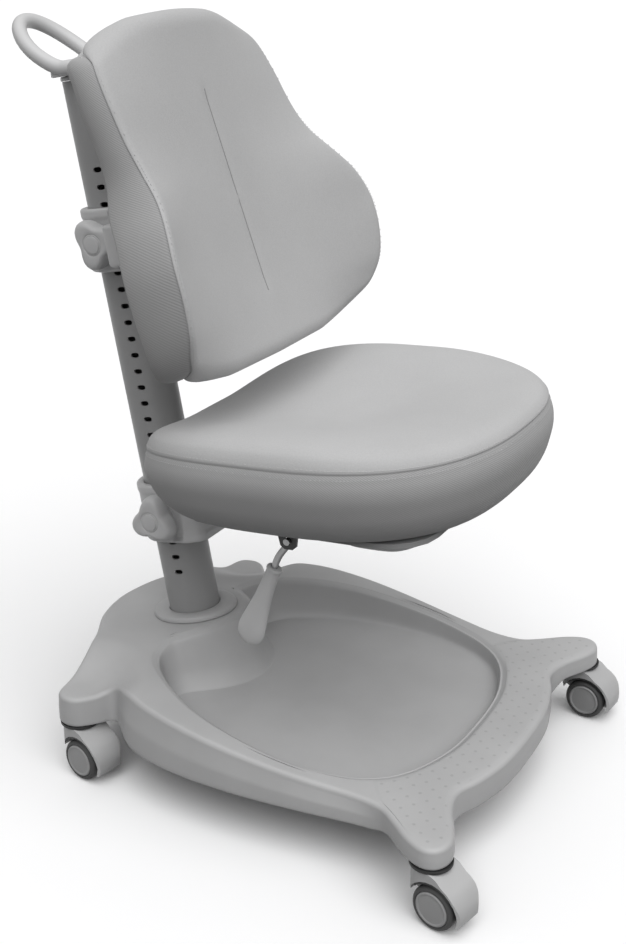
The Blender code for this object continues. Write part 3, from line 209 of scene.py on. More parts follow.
BACK_ORIGIN = np.array([0.0, 0.0545, 0.675])
BACK_LEAN = radians(20)
BACK_AXES = (ACROSS, np.array([0.0, cos(BACK_LEAN), -sin(BACK_LEAN)]),
             np.array([0.0, sin(BACK_LEAN), cos(BACK_LEAN)]))
BACK_EDGE = 0.012
BACK_WRAP = 2.4
BACK_LIP = 0.0035           # how far the cloth's rear edge stands behind the shell's seat
SHELL_INSET = 0.0105        # from the cushion's outline to the shell's
SHELL_ROUND = 0.0015        # how far the shell's edge stands out
SHELL_DEPTH = 0.0052
SHELL_HOLLOW = 0.0016       # depth of the recessed field in the shell's rear
BACK_ROLL = (0.0095, 0.0170, 0.0210)  # width of the face's rolled edge: sides, lower end, upper end
BACK_ROLL_TURN = (radians(86), radians(150))  # how far it rolls over, at the sides and at the ends
BACK_ROLL_DEPTH = (0.0062, 0.0050)  # how far it rolls back at the sides, low and high
SEAM_PINCH = (0.0014, 0.0006)  # how far the seam is drawn in, and back
SIDE_INSET = 0.0010         # how far the side cloth starts inside the rolled edge
HEM_RADIUS = 0.0045
REAR_INSET = 0.0085         # from the rolled edge to where the flat rear begins
DART_DEPTH = 0.0016
DART_WIDTH = 0.0065
DART_SPAN = (0.122, -0.108)

# height in the backrest's frame, half width, wing set forward, rear of the middle, and more depth at the wing
BACK_SECTIONS = np.array([
    (0.212, 0.070, 0.006, 0.034, 0.000),
    (0.205, 0.102, 0.008, 0.040, 0.000),
    (0.194, 0.130, 0.012, 0.041, 0.000),
    (0.178, 0.149, 0.012, 0.040, 0.000),
    (0.156, 0.158, 0.008, 0.038, 0.000),
    (0.125, 0.163, 0.003, 0.041, 0.000),
    (0.085, 0.166, -0.003, 0.043, 0.000),
    (0.052, 0.170, -0.012, 0.048, 0.003),
    (0.020, 0.183, -0.0265, 0.053, 0.012),
    (-0.010, 0.1995, -0.0375, 0.054, 0.0135),
    (-0.045, 0.2115, -0.042, 0.055, 0.0135),
    (-0.080, 0.2135, -0.041, 0.057, 0.0115),
    (-0.115, 0.211, -0.034, 0.057, 0.007),
    (-0.141, 0.203, -0.021, 0.050, 0.005),
    (-0.158, 0.186, -0.009, 0.046, 0.003),
    (-0.170, 0.152, -0.002, 0.042, 0.000),
    (-0.178, 0.102, 0.000, 0.034, 0.000),
])

# ---------------------------------------------------------------- clamps, knobs and lever
CLAMP_WALL = 0.010
CLAMP_HEIGHT = 0.074
CLAMP_EDGE = 0.0032
CLAMP_FIT = 0.0005
CLAMP_HOLLOW = 0.0052       # depth of the hollow in each side
CLAMP_NECK = 0.0012         # how far the wall is drawn in between its rims
YOKE_FRONT = -0.1145        # from the mast's axis
YOKE_REAR = -0.0410
YOKE_HALF_WIDTH = 0.0935
YOKE_HEIGHT = 0.0476
YOKE_EDGE = 0.0048
NOSES = {"backrest": 0.004, "seat": 0.016}
STATIONS = {"backrest": BACKREST_STATION, "seat": SEAT_STATION}
KNOB_TURNS = {"backrest": radians(40), "seat": radians(-10)}
KNOB_THICKNESS = 0.022
KNOB_STANDOFF = 0.0030
KNOB_CAP_RADIUS = 0.0105
BOSS_RADIUS = 0.013
BOSS_LENGTH = 0.0015
PIN_HOLE = 0.0052           # radius of the hole in the boss
LEVER_LEAN = radians(26)
LEVER_ROD_RADIUS = 0.004
LEVER_ROD_START = 0.0043
LEVER_ROD_END = 0.052
GRIP_START = 0.0475
GRIP_LENGTH = 0.1110
# share of the grip's length, half width, half thickness, and how far its middle stands forward
GRIP_SECTIONS = np.array([
    (0.000, 0.0078, 0.0068, 0.0070), (0.010, 0.0090, 0.0078, 0.0070), (0.030, 0.0092, 0.0079, 0.0070),
    (0.050, 0.0084, 0.0074, 0.0070), (0.100, 0.0085, 0.0074, 0.0070), (0.250, 0.0092, 0.0076, 0.0070),
    (0.400, 0.0106, 0.0076, 0.0068), (0.600, 0.0137, 0.0072, 0.0064), (0.750, 0.0164, 0.0066, 0.0060),
    (0.840, 0.0172, 0.0060, 0.0058), (0.910, 0.0158, 0.0052, 0.0057), (0.960, 0.0122, 0.0042, 0.0056),
    (0.990, 0.0068, 0.0030, 0.0056), (1.000, 0.0016, 0.0012, 0.0056),
])
COIL_TURNS = 3
COIL_SPAN = (0.018, 0.030)
COIL_RADIUS = 0.0062
COIL_WIRE = 0.0008

# ---------------------------------------------------------------- casters
WHEEL_RADIUS = 0.0255
WHEEL_WIDTH = 0.0145
WHEEL_NEAR = 0.0073         # from the middle of the caster to a wheel's inner face
TYRE_THICKNESS = 0.0054
AXLE_HOLE = 0.0036
HOOD_SHADE_RADII = (0.0288, 0.0310)   # radii of the black sheet of painted shade in the hood, over the wheel
HOOD_SHADE_ARC = (radians(42), radians(138))
# black disc of painted shade, in the shadowed gap between a base arm's underside and its caster's hood
SHADE_DISC_RADIUS = 0.0235
SHADE_DISC_LOW = 0.0662
SHADE_DISC_HIGH = 0.0698

# ---------------------------------------------------------------- stage
VIEW_FROM = (-1.3210, -0.7751, 0.9839)
VIEW_TURN = -60.93          # degrees, from +Y
VIEW_DOWN = 22.33           # degrees under level
SENSOR_HEIGHT = 36.0        # millimetres
FOCAL_LENGTHS = 1.4827      # focal length in heights of the view
VIEW_SHIFT = (-0.00113, -0.00037)
AIR_LIGHT = 0.66
HORIZON = 0.26              # how bright the air is at the horizon, as a share of overhead
SUN_FROM = (-0.36, -0.38, 0.85)
SUN_LIGHT = 2.10
SUN_WIDTH = 70              # degrees, a broad soft source
FLOOR_BOUNCE = 0.08         # how much of its light the floor sends back to the chair

# ================================================================ arithmetic of shapes
def smooth_step(value):
    """Ease from 0 to 1: 3v^2 - 2v^3, with v held between 0 and 1."""
    value = np.clip(value, 0.0, 1.0)
    return value * value * (3 - 2 * value)


def mix(start, end, share):
    """Straight blend: start at share 0, end at share 1."""
    return start + (end - start) * share


def stack(x, y, z):
    """Join three coordinate arrays, broadcast to one shape, into points."""
    return np.stack(np.broadcast_arrays(x, y, z), axis=-1)


def raised(plan, height):
    """Plan points, each at its height."""
    return stack(plan[..., 0], plan[..., 1], height)


def full_turn(count):
    """Evenly spaced angles round a circle."""
    return np.linspace(0, 2 * pi, count, endpoint=False)


def in_frame(points, origin, axes):
    """Place local points: origin + x times the first axis + y times the second + z times the third."""
    return origin + points @ np.array(axes)


def on_mast(points, station=0.0):
    """Place points given in the mast's frame, measured from a distance along it."""
    return in_frame(points, MAST_FOOT + ALONG * station, MAST_AXES)


def on_seat(points):
    """Place points given in the seat cushion's frame."""
    return in_frame(points, SEAT_ORIGIN, SEAT_AXES)


def on_back(points):
    """Place points given in the backrest cushion's frame."""
    return in_frame(points, BACK_ORIGIN, BACK_AXES)


def spline(points, steps, closed=False):
    """Catmull-Rom curve through points: each span is the cubic whose end slopes join the neighbours."""
    points = np.asarray(points, float)
    if closed:
        before, start, end, after = (np.roll(points, shift, axis=0) for shift in (1, 0, -1, -2))
    else:
        line = np.concatenate([2 * points[:1] - points[1:2], points, 2 * points[-1:] - points[-2:-1]])
        before, start, end, after = line[:-3], line[1:-2], line[2:-1], line[3:]
    t = (np.arange(steps) / steps).reshape((1, steps) + (1,) * (points.ndim - 1))
    a, b, c, d = (part[:, None] for part in (before, start, end, after))
    square, cube = 2 * a - 5 * b + 4 * c - d, 3 * b - a - 3 * c + d
    curve = 0.5 * (2 * b + (c - a) * t + square * t ** 2 + cube * t ** 3)
    curve = curve.reshape((-1,) + points.shape[1:])
    return curve if closed else np.concatenate([curve, points[-1:]])


def evenly(points, count, closed=False):
    """Resample a polyline at equal steps of its own length."""
    line = np.concatenate([points, points[:1]]) if closed else points
    passed = np.concatenate([[0], np.cumsum(np.linalg.norm(np.diff(line, axis=0), axis=1))])
    place = np.linspace(0, passed[-1], count, endpoint=not closed)
    return np.stack([np.interp(place, passed, line[:, k]) for k in range(line.shape[1])], axis=-1)


def softened(ring, passes):
    """Round a closed ring: each pass takes a point to half of itself and a quarter of each neighbour."""
    for _ in range(passes):
        ring = 0.25 * np.roll(ring, 1, axis=0) + 0.5 * ring + 0.25 * np.roll(ring, -1, axis=0)
    return ring


def eased(points, count, passes):
    """A closed curve through points, evenly spaced and with soft corners."""
    return softened(evenly(points, count, closed=True), passes)


def oval(half_width, half_depth, count, power=2.0):
    """Superellipse |x / a|^n + |y / b|^n = 1, at equal steps of the polar angle."""
    turn = full_turn(count)
    wide, deep = np.abs(np.cos(turn) / half_width), np.abs(np.sin(turn) / half_depth)
    reach = (wide ** power + deep ** power) ** (-1 / power)
    return np.stack([np.cos(turn) * reach, np.sin(turn) * reach], axis=-1)


def outward(ring):
    """Unit normals of a closed anticlockwise plan curve: its tangent, turned a quarter to the right."""
    along = np.roll(ring, -1, axis=0) - np.roll(ring, 1, axis=0)
    along = along / np.linalg.norm(along, axis=1, keepdims=True)
    return np.stack([along[:, 1], -along[:, 0]], axis=-1)


def drawn_in(ring, distance):
    """Move a closed plan curve inward along its normals."""
    return ring - outward(ring) * distance


def walls(ring, profile):
    """Carry a profile of (distance inward, height) round a plan curve."""
    profile = np.asarray(profile, float)
    plan = ring[None] - outward(ring)[None] * profile[:, None, :1]
    return raised(plan, profile[:, 1:])


def closed_end(sheet, middle=None, shares=(0.3, 0.6, 0.85, 1.0)):
    """Close the last row of a sheet with rows that shrink straight to its middle."""
    last = sheet[-1:]
    middle = last.mean(axis=1, keepdims=True) if middle is None else np.reshape(middle, (1, 1, 3))
    return np.concatenate([sheet] + [mix(last, middle, share) for share in shares])


def closed_ends(sheet):
    """Close both the first and the last row of a sheet."""
    return closed_end(closed_end(sheet)[::-1])


def rounded(profile, radius, steps=5):
    """Swap each inner corner of an open profile for a parabola that leaves it a radius before and after."""
    profile = np.asarray(profile, float)
    before, corner, after = profile[:-2], profile[1:-1], profile[2:]
    back, fore = before - corner, after - corner
    back_length = np.linalg.norm(back, axis=1, keepdims=True)
    fore_length = np.linalg.norm(fore, axis=1, keepdims=True)
    radius = np.broadcast_to(np.asarray(radius, float), len(corner))[:, None]
    start = corner + back / back_length * np.minimum(radius, back_length * 0.49)
    end = corner + fore / fore_length * np.minimum(radius, fore_length * 0.49)
    t = np.linspace(0, 1, steps)[None, :, None]
    bends = start[:, None] * (1 - t) ** 2 + corner[:, None] * 2 * t * (1 - t) + end[:, None] * t ** 2
    return np.concatenate([profile[:1], bends.reshape(-1, 2), profile[-1:]])


def lathe(profile, turns=56):
    """Surface of revolution about Z: (r cos t, r sin t, z) for each (r, z) of the profile."""
    profile = np.asarray(profile, float)
    turn = full_turn(turns)
    return stack(profile[:, :1] * np.cos(turn), profile[:, :1] * np.sin(turn), profile[:, 1:])


def tube(path, radius, up, sides=20, closed=False):
    """Sweep a circle along a path; its first spoke is the part of up that is square to the path."""
    path = np.asarray(path, float)
    tangent = np.roll(path, -1, axis=0) - np.roll(path, 1, axis=0) if closed else np.gradient(path, axis=0)
    tangent = tangent / np.linalg.norm(tangent, axis=1, keepdims=True)
    up = np.broadcast_to(np.asarray(up, float), path.shape)
    spoke = up - tangent * np.sum(up * tangent, axis=1, keepdims=True)
    spoke = spoke / np.linalg.norm(spoke, axis=1, keepdims=True)
    side = np.cross(tangent, spoke)
    turn = full_turn(sides)[None, :, None]
    radius = np.broadcast_to(np.asarray(radius, float).reshape(-1, 1, 1), (len(path), 1, 1))
    sheet = path[:, None] + radius * (spoke[:, None] * np.cos(turn) + side[:, None] * np.sin(turn))
    return sheet if closed else closed_ends(sheet)


def capsules(places, along, outwards, length, width, height):
    """Stitches: at each place an ellipsoid, long along the seam and flattened against the cloth."""
    turn = full_turn(6)
    lift = np.radians([-90, -45, 0, 45, 90])
    rise, reach = np.sin(lift)[:, None], np.cos(lift)[:, None]
    ball = stack(rise, reach * np.cos(turn), reach * np.sin(turn))
    along = along / np.linalg.norm(along, axis=1, keepdims=True)
    outwards = outwards / np.linalg.norm(outwards, axis=1, keepdims=True)
    across = np.cross(along, outwards)
    axes = np.stack([along * length / 2, across * width / 2, outwards * height / 2], axis=1)
    return places[:, None, None] + np.einsum("rck,nkj->nrcj", ball, axes)


# ================================================================ meshes
def mesh_of(name, sheets, weld=SHEET_WELD):
    """One mesh of several grids of points.

    A sheet is an array of rows, or a dict of points with ring and loop, which say that the columns or
    the rows close on themselves, uv for the corners and area for the points.
    """
    places, corners, maps, areas = [], [], [], []
    first = 0
    for sheet in sheets:
        sheet = sheet if isinstance(sheet, dict) else {"points": sheet}
        points = sheet["points"]
        rows, columns = points.shape[:2]
        r, c = np.meshgrid(np.arange(rows - (not sheet.get("loop", False))),
                           np.arange(columns - (not sheet.get("ring", True))), indexing="ij")
        r = np.stack([r, r, r + 1, r + 1], axis=-1).reshape(-1, 4)
        c = np.stack([c, c + 1, c + 1, c], axis=-1).reshape(-1, 4)
        corners.append(first + (r % rows) * columns + c % columns)
        places.append(points.reshape(-1, 3))
        uv = sheet.get("uv", np.zeros((rows + 1, columns + 1, 2)))
        maps.append(uv[r, c])
        areas.append(np.broadcast_to(sheet.get("area", 0.0), (rows, columns)).ravel())
        first += rows * columns
    places, corners, maps = np.concatenate(places), np.concatenate(corners), np.concatenate(maps)
    mesh = bpy.data.meshes.new(name)
    mesh.vertices.add(len(places))
    mesh.vertices.foreach_set("co", places.astype(np.float32).ravel())
    mesh.loops.add(corners.size)
    mesh.loops.foreach_set("vertex_index", corners.astype(np.int32).ravel())
    mesh.polygons.add(len(corners))
    mesh.polygons.foreach_set("loop_start", np.arange(0, corners.size, 4, dtype=np.int32))
    mesh.uv_layers.new(name="cloth").data.foreach_set("uv", maps.astype(np.float32).ravel())
    area = mesh.attributes.new("area", "FLOAT", "POINT")
    area.data.foreach_set("value", np.concatenate(areas).astype(np.float32))
    mesh.update(calc_edges=True)
    work = bmesh.new()
    work.from_mesh(mesh)
    bmesh.ops.remove_doubles(work, verts=work.verts, dist=weld)
    bmesh.ops.dissolve_degenerate(work, edges=work.edges, dist=weld / 2)
    bmesh.ops.recalc_face_normals(work, faces=work.faces)
    work.to_mesh(mesh)
    work.free()
    return mesh


def show(name, mesh, look, body, stands_for=(), sharp=40):
    """Show a mesh, in a named look and its slot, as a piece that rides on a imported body."""
    piece = bpy.data.objects.new(name, mesh)
    bpy.context.scene.collection.objects.link(piece)
    mesh.materials.clear()
    mesh.materials.append(finish(look))
    mesh.shade_smooth()
    mesh.set_sharp_from_angle(angle=radians(sharp))
    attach(piece, body)
    if stands_for:
        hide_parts(*stands_for)
    return piece


def made(name, sheets, look, body, stands_for=(), weld=SHEET_WELD, sharp=40):
    """Build one mesh of the sheets and show it."""
    return show(name, mesh_of(name, sheets, weld), look, body, stands_for, sharp)


def refined(packed, look, body, width=0.0006, segments=2, angle=32):
    """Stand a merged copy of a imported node, its sharp edges rounded, in for the node."""
    mesh = NODES[packed].data.copy()
    work = bmesh.new()
    work.from_mesh(mesh)
    bmesh.ops.remove_doubles(work, verts=work.verts, dist=PACKED_WELD)
    bmesh.ops.dissolve_limit(work, angle_limit=FLAT_ANGLE, verts=work.verts, edges=work.edges)
    bmesh.ops.recalc_face_normals(work, faces=work.faces)
    work.to_mesh(mesh)
    work.free()
    piece = show(packed + "_finished", mesh, look, body, (packed,), sharp=angle)
    step = piece.modifiers.new("edges", "BEVEL")
    step.width = width
    step.segments = segments
    step.limit_method = "ANGLE"
    step.angle_limit = radians(angle)
    step.harden_normals = True
    return piece


# ================================================================ sizes and colours a user may change
def length(name, description, default):
    """A length in metres."""
    return FloatProperty(name=name, description=description, default=default, min=0.0, soft_max=default * 3,
                         precision=4, unit="LENGTH", subtype="DISTANCE")


def colour(name, description, shade):
    """A neutral colour of one linear shade."""
    return FloatVectorProperty(name=name, description=description, default=(shade, shade, shade * 1.005),
                               min=0.0, max=1.0, size=3, subtype="COLOR")


class StudyChairSizes(bpy.types.PropertyGroup):
    """Sizes of the visible pieces."""
    edge_rounding: length("Base edge", "Rounding along the base's outer top edge", 0.0058)
    handle_radius: length("Handle bar", "Radius of the carrying loop's bar", 0.0085)
    knob_radius: length("Knob", "Reach of a knob's lobes", 0.0320)
    crown: length("Seat crown", "Height of the seat cushion's sides over their seam", 0.0235)
    dish: length("Seat dish", "Depth of the hollow in the seat cushion", 0.0275)
    bulge: length("Side fullness", "How far a cushion's side stands out between its seams", 0.0045)
    stitch_pitch: length("Stitch pitch", "Distance from stitch to stitch", 0.0042)
    twill_pitch: length("Twill pitch", "Distance between the ribs of the side cloth", 0.0019)
    tread_pitch: length("Tread pitch", "Distance between the dimples of the front tread", 0.0155)


class StudyChairColours(bpy.types.PropertyGroup):
    """Colours of the finishes."""
    shell: colour("Base", "Moulded base and casters' hoods", 0.475)
    trim: colour("Trim", "Clamps, knobs, handle and lever grip", 0.60)
    disc: colour("Wheel disc", "Discs of the casters", 0.34)
    enamel: colour("Mast", "Enamel of the mast", 0.32)
    # black: the powder coat's colour, also used for the painted shade in the casters' hoods and under the
    # base's arms
    black: colour("Black steel", "Powder-coated brackets and rails", 0.012)
    zinc: colour("Zinc steel", "Pins, rods and springs", 0.30)
    board: colour("Board", "Felt on the seat's board", 0.34)
    knit: colour("Knit cloth", "Face cloth of the cushions", 0.50)
    twill: colour("Twill cloth", "Side cloth of the cushions", 0.40)
    # seam: its dark colour is painted shade, for the crease down the backrest's dart
    thread: colour("Thread", "Stitches", 0.55)
    seam: colour("Seam", "Fold of the cloth in a seam", 0.26)
    tyre: colour("Tyre", "Elastomer of the wheels", 0.060)
    floor: colour("Floor", "Studio floor", 0.99)


# ================================================================ finishes
def new_finish(name, shade, roughness, metallic=0.0):
    """A Principled material with its node tree and shader."""
    material = bpy.data.materials.new(name)
    material.use_nodes = True
    tree = material.node_tree
    shader = tree.nodes["Principled BSDF"]
    shader.inputs["Base Color"].default_value = (*shade, 1.0)
    shader.inputs["Roughness"].default_value = roughness
    shader.inputs["Metallic"].default_value = metallic
    return material, tree, shader


def node(tree, kind, settings=None, **sockets):
    """Add a node; a socket, by name or as _number, is given a value or another node's output to follow."""
    added = tree.nodes.new(kind)
    for key, value in (settings or {}).items():
        setattr(added, key, value)
    for key, value in sockets.items():
        socket = added.inputs[int(key[1:]) if key[0] == "_" else key.replace("_", " ")]
        if isinstance(value, bpy.types.NodeSocket):
            tree.links.new(value, socket)
        else:
            socket.default_value = value
    return added


def noise(tree, place, scale, detail=2.0):
    """Cloudy pattern of a given number of clouds to the metre."""
    return node(tree, "ShaderNodeTexNoise", Vector=place, Scale=scale, Detail=detail).outputs["Fac"]


def maths(tree, operation, *values):
    """One step of arithmetic on values or on other nodes' outputs."""
    sockets = {"_%d" % place: value for place, value in enumerate(values)}
    return node(tree, "ShaderNodeMath", {"operation": operation}, **sockets).outputs[0]


def ramp(tree, source, low, high, start=0.0, end=1.0):
    """Map a value from low..high to start..end, held at both ends."""
    mapped = node(tree, "ShaderNodeMapRange", Value=source, From_Min=low, From_Max=high,
                  To_Min=start, To_Max=end)
    return mapped.outputs[0]


def blend_colours(tree, share, first, second):
    """Go from one colour to another by a share."""
    mixer = node(tree, "ShaderNodeMix", {"data_type": "RGBA"})
    for place, value in ((0, share), (6, first), (7, second)):
        if isinstance(value, bpy.types.NodeSocket):
            tree.links.new(value, mixer.inputs[place])
        else:
            mixer.inputs[place].default_value = value
    return mixer.outputs[2]


def tinted(shade, factor):
    """A colour made lighter or darker by a factor."""
    return (*(min(1.0, channel * factor) for channel in shade), 1.0)


def two_tones(tree, share, shade, darker, lighter):
    """Go from a darker to a lighter tint of one colour by a share."""
    return blend_colours(tree, share, tinted(shade, darker), tinted(shade, lighter))


def grained(name, shade, roughness, metallic=0.0, grain=1500.0, relief=0.00003, mottle=0.03, bumps=None):
    """Moulded, painted or plated surface: fine grain in the relief, faint mottling in colour and gloss."""
    material, tree, shader = new_finish(name, shade, roughness, metallic)
    place = node(tree, "ShaderNodeTexCoord").outputs["Object"]
    fine = noise(tree, place, grain, 2.0)
    broad = noise(tree, place, 14.0, 3.0)
    tone = two_tones(tree, ramp(tree, broad, 0.35, 0.65), shade, 1 - mottle, 1 + mottle)
    height = fine
    if bumps is not None:
        tone, height = bumps(tree, place, tone, fine)
    tree.links.new(tone, shader.inputs["Base Color"])
    gloss = ramp(tree, broad, 0.3, 0.7, roughness - 0.04, roughness + 0.05)
    tree.links.new(gloss, shader.inputs["Roughness"])
    relief_node = node(tree, "ShaderNodeBump", Height=height, Distance=relief, Strength=1.0)
    tree.links.new(relief_node.outputs[0], shader.inputs["Normal"])
    return material


def dimples(tree, place, tone, fine):
    """Round dimples in a square grid where the area attribute is 1; each is painted darker, as painted shade
    in its hollow.
    """
    pitch = bpy.context.scene.study_chair_sizes.tread_pitch
    area = node(tree, "ShaderNodeAttribute", {"attribute_name": "area"}).outputs["Fac"]
    turned = node(tree, "ShaderNodeMapping", Vector=place, Rotation=(0.0, 0.0, radians(38))).outputs[0]
    cells = node(tree, "ShaderNodeTexVoronoi", {"voronoi_dimensions": "2D"}, Vector=turned, Scale=1 / pitch,
                 Randomness=0.0).outputs["Distance"]
    dent = ramp(tree, cells, 0.085, 0.15, 1.0, 0.0)
    dent = maths(tree, "MULTIPLY", dent, area)
    speckle = noise(tree, place, 420.0, 2.0)
    speckle = maths(tree, "MULTIPLY", speckle, area)
    # painted shade: each dimple's colour is darkened towards black, standing in for the shade in its hollow
    shade = maths(tree, "MULTIPLY", dent, 0.16)
    tone = blend_colours(tree, shade, tone, (0.05, 0.05, 0.05, 1.0))
    height = maths(tree, "MULTIPLY_ADD", dent, -6.0, fine)
    height = maths(tree, "MULTIPLY_ADD", speckle, 3.0, height)
    return tone, height


def cloth():
    """Face knit where area is 0, ribbed twill where it is 1; ribs run askew to the cloth's own map."""
    colours = bpy.context.scene.study_chair_colours
    pitch = bpy.context.scene.study_chair_sizes.twill_pitch
    material, tree, shader = new_finish("cushion_cloth", colours.knit, 0.92)
    shader.inputs["Sheen Weight"].default_value = 0.25
    shader.inputs["Sheen Roughness"].default_value = 0.6
    shader.inputs["Specular IOR Level"].default_value = 0.2
    coordinates = node(tree, "ShaderNodeTexCoord")
    place, flat = coordinates.outputs["Object"], coordinates.outputs["UV"]
    area = node(tree, "ShaderNodeAttribute", {"attribute_name": "area"}).outputs["Fac"]
    band = 2 * pi / 20          # a band texture repeats at this length at scale 1
    askew = node(tree, "ShaderNodeMapping", Vector=flat, Rotation=(0.0, 0.0, radians(34))).outputs[0]
    ribs = node(tree, "ShaderNodeTexWave", {"bands_direction": "Y"}, Vector=askew, Scale=band / pitch,
                Distortion=0.6, Detail=1.0, Detail_Scale=2.0).outputs["Fac"]
    threads = node(tree, "ShaderNodeTexWave", {"bands_direction": "X"}, Vector=askew,
                   Scale=band / (pitch * 0.42), Distortion=0.8, Detail=1.0).outputs["Fac"]
    weave = maths(tree, "MULTIPLY_ADD", threads, 0.30, ribs)
    stitches = node(tree, "ShaderNodeTexVoronoi", Vector=place, Scale=1100.0).outputs["Distance"]
    heather = noise(tree, place, 650.0, 3.0)
    wear = noise(tree, place, 9.0, 2.0)
    knit = two_tones(tree, ramp(tree, heather, 0.3, 0.7), colours.knit, 0.955, 1.045)
    twill = two_tones(tree, ramp(tree, weave, 0.15, 1.1), colours.twill, 0.88, 1.11)
    tone = blend_colours(tree, area, knit, twill)
    worn = blend_colours(tree, ramp(tree, wear, 0.3, 0.7, 0.0, 0.05), tone, (0.0, 0.0, 0.0, 1.0))
    tree.links.new(worn, shader.inputs["Base Color"])
    relief = blend_colours(tree, area, stitches, weave)
    bump = node(tree, "ShaderNodeBump", Height=relief, Distance=0.00014, Strength=0.8)
    tree.links.new(bump.outputs[0], shader.inputs["Normal"])
    return material


made_finishes = {}
FINISHES = {
    "shell": lambda c: grained("moulded_shell", c.shell, 0.44),
    "tread": lambda c: grained("moulded_tread", c.shell, 0.46, bumps=dimples),
    "trim": lambda c: grained("moulded_trim", c.trim, 0.40),
    "disc": lambda c: grained("wheel_disc", c.disc, 0.42),
    "enamel": lambda c: grained("mast_enamel", c.enamel, 0.42, grain=2600.0, relief=0.00002, mottle=0.02),
    # the powder coat's finish also colours the painted shade pieces of the casters
    "black": lambda c: grained("black_coat_and_painted_shade", c.black, 0.48, 0.1, grain=2200.0),
    "zinc": lambda c: grained("zinc_plate", c.zinc, 0.38, 0.85, grain=3000.0, relief=0.00001, mottle=0.08),
    "board": lambda c: grained("felt_board", c.board, 0.95, grain=900.0, relief=0.0002),
    "thread": lambda c: grained("stitching_thread", c.thread, 0.85, grain=6000.0, relief=0.00005),
    # the seam finish is painted shade for the dart's crease
    "seam": lambda c: grained("painted_seam_shade", c.seam, 0.95, grain=3000.0),
    "tyre": lambda c: grained("tyre_elastomer", c.tyre, 0.62, grain=1800.0, relief=0.00004, mottle=0.06),
    "cloth": lambda c: cloth(),
}


def finish(name):
    """The named finish, made on its first use."""
    if name not in made_finishes:
        made_finishes[name] = FINISHES[name](bpy.context.scene.study_chair_colours)
    return made_finishes[name]


def dressed(look, *nodes):
    """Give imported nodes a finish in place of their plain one."""
    for name in nodes:
        for slot in NODES[name].material_slots:
            slot.material = finish(look)


# ================================================================ base
def caster_pivot(name):
    """Plan of a caster's pivot."""
    return np.array(JOINTS[name + "_swivel_turn"]["pos_m"][:2])


def pivot_distance(x, y):
    """Distance in plan to the nearest caster pivot."""
    return np.min([np.hypot(x - pivot[0], y - pivot[1]) for pivot in map(caster_pivot, CASTERS)], axis=0)


def rail_height(x, y):
    """The base's top without its dome: it climbs from the front to the rails and drops to the rear arms."""
    height = mix(FRONT_HEIGHT, RAIL_HEIGHT, smooth_step((y - CLIMB_START) / CLIMB_LENGTH))
    near_arm = smooth_step((ARM_REACH - pivot_distance(x, y)) / REAR_ARM_FADE) * (y > 0)
    return mix(height, REAR_ARM_HEIGHT, near_arm)


def dome_share(x, y):
    """1 under the mast's collar, easing to 0 with the distance in collar widths."""
    centre = MAST_FOOT[1] + DOME_HEIGHT * tan(MAST_LEAN)
    reach = np.hypot(x / COLLAR_HALF_WIDTH, (y - centre) / COLLAR_HALF_DEPTH)
    return 1 - smooth_step((reach - DOME_FLAT) / DOME_SPREAD)


def top_height(plan):
    """Height of the base's top: the rail's, blended with the dome's, which slopes square to the mast."""
    x, y = plan[..., 0], plan[..., 1]
    dome = DOME_HEIGHT - (y - MAST_FOOT[1] - DOME_HEIGHT * tan(MAST_LEAN)) * tan(MAST_LEAN)
    return mix(rail_height(x, y), dome, dome_share(x, y))


def skirt_height(plan):
    """Height of the skirt's lower edge, which rises over each caster."""
    near_arm = smooth_step((ARM_REACH - pivot_distance(plan[..., 0], plan[..., 1])) / SKIRT_FADE)
    return mix(SKIRT_BOTTOM, ARM_BOTTOM, near_arm)


def skirt_rows(outer, side, rounding):
    """Rows from the skirt's lower edge, up the wall and over its rounded top edge; and that edge's plan."""
    lean = mix(*SKIRT_LEAN, side)
    drop = mix(*EDGE_DROP, side)
    low = skirt_height(outer)
    edge = drawn_in(outer, (lean + rounding)[:, None])
    high = top_height(edge)
    rows = [raised(drawn_in(outer, distance), low + lift)
            for distance, lift in ((0.0018, 0.0), (0.0005, 0.0004), (0.0, SKIRT_LIP))]
    for share in np.linspace(0.08, 1.0, 14):
        inward = lean * np.maximum(0.0, (share - SKIRT_CREASE) / (1 - SKIRT_CREASE))
        inward = mix(inward, lean * smooth_step(share), 0.25)
        rows.append(raised(drawn_in(outer, inward[:, None]), mix(low + SKIRT_LIP, high - drop, share)))
    for turn in np.radians([12, 25, 38, 52, 66, 79]):
        inward = lean + rounding * (1 - cos(turn))
        rows.append(raised(drawn_in(outer, inward[:, None]), high - drop * (1 - sin(turn))))
    return rows, edge


def tread_rows(edge, lip, station):
    """Rows over the top, from its outer edge to the tray's lip, and the share of tread at each point."""
    rows, areas = [], []
    for share in np.linspace(0, 0.97, 18):
        plan = mix(edge, lip, share)
        tread = smooth_step((mix(PAD_END[1], PAD_END[0], share) - station) / 0.30)
        proud = tread * smooth_step((share + 0.01) / 0.05) * smooth_step((1.01 - share) / 0.06)
        rows.append(raised(plan, top_height(plan) + PAD_LIFT * proud))
        areas.append(proud)
    return rows, areas


def tray_foot(curve):
    """Foot of the tray's wall: inside the rim, and on its own line round the dome."""
    feet = drawn_in(curve, TRAY_FOOT_INSET)
    rows = len(BASE_PLAN)
    feet[rows - len(TRAY_FOOT):rows] = TRAY_FOOT
    feet[rows:rows + len(TRAY_FOOT) - 1] = TRAY_FOOT[-2::-1] * (-1, 1)
    return softened(spline(feet, PLAN_STEPS, closed=True), 12)


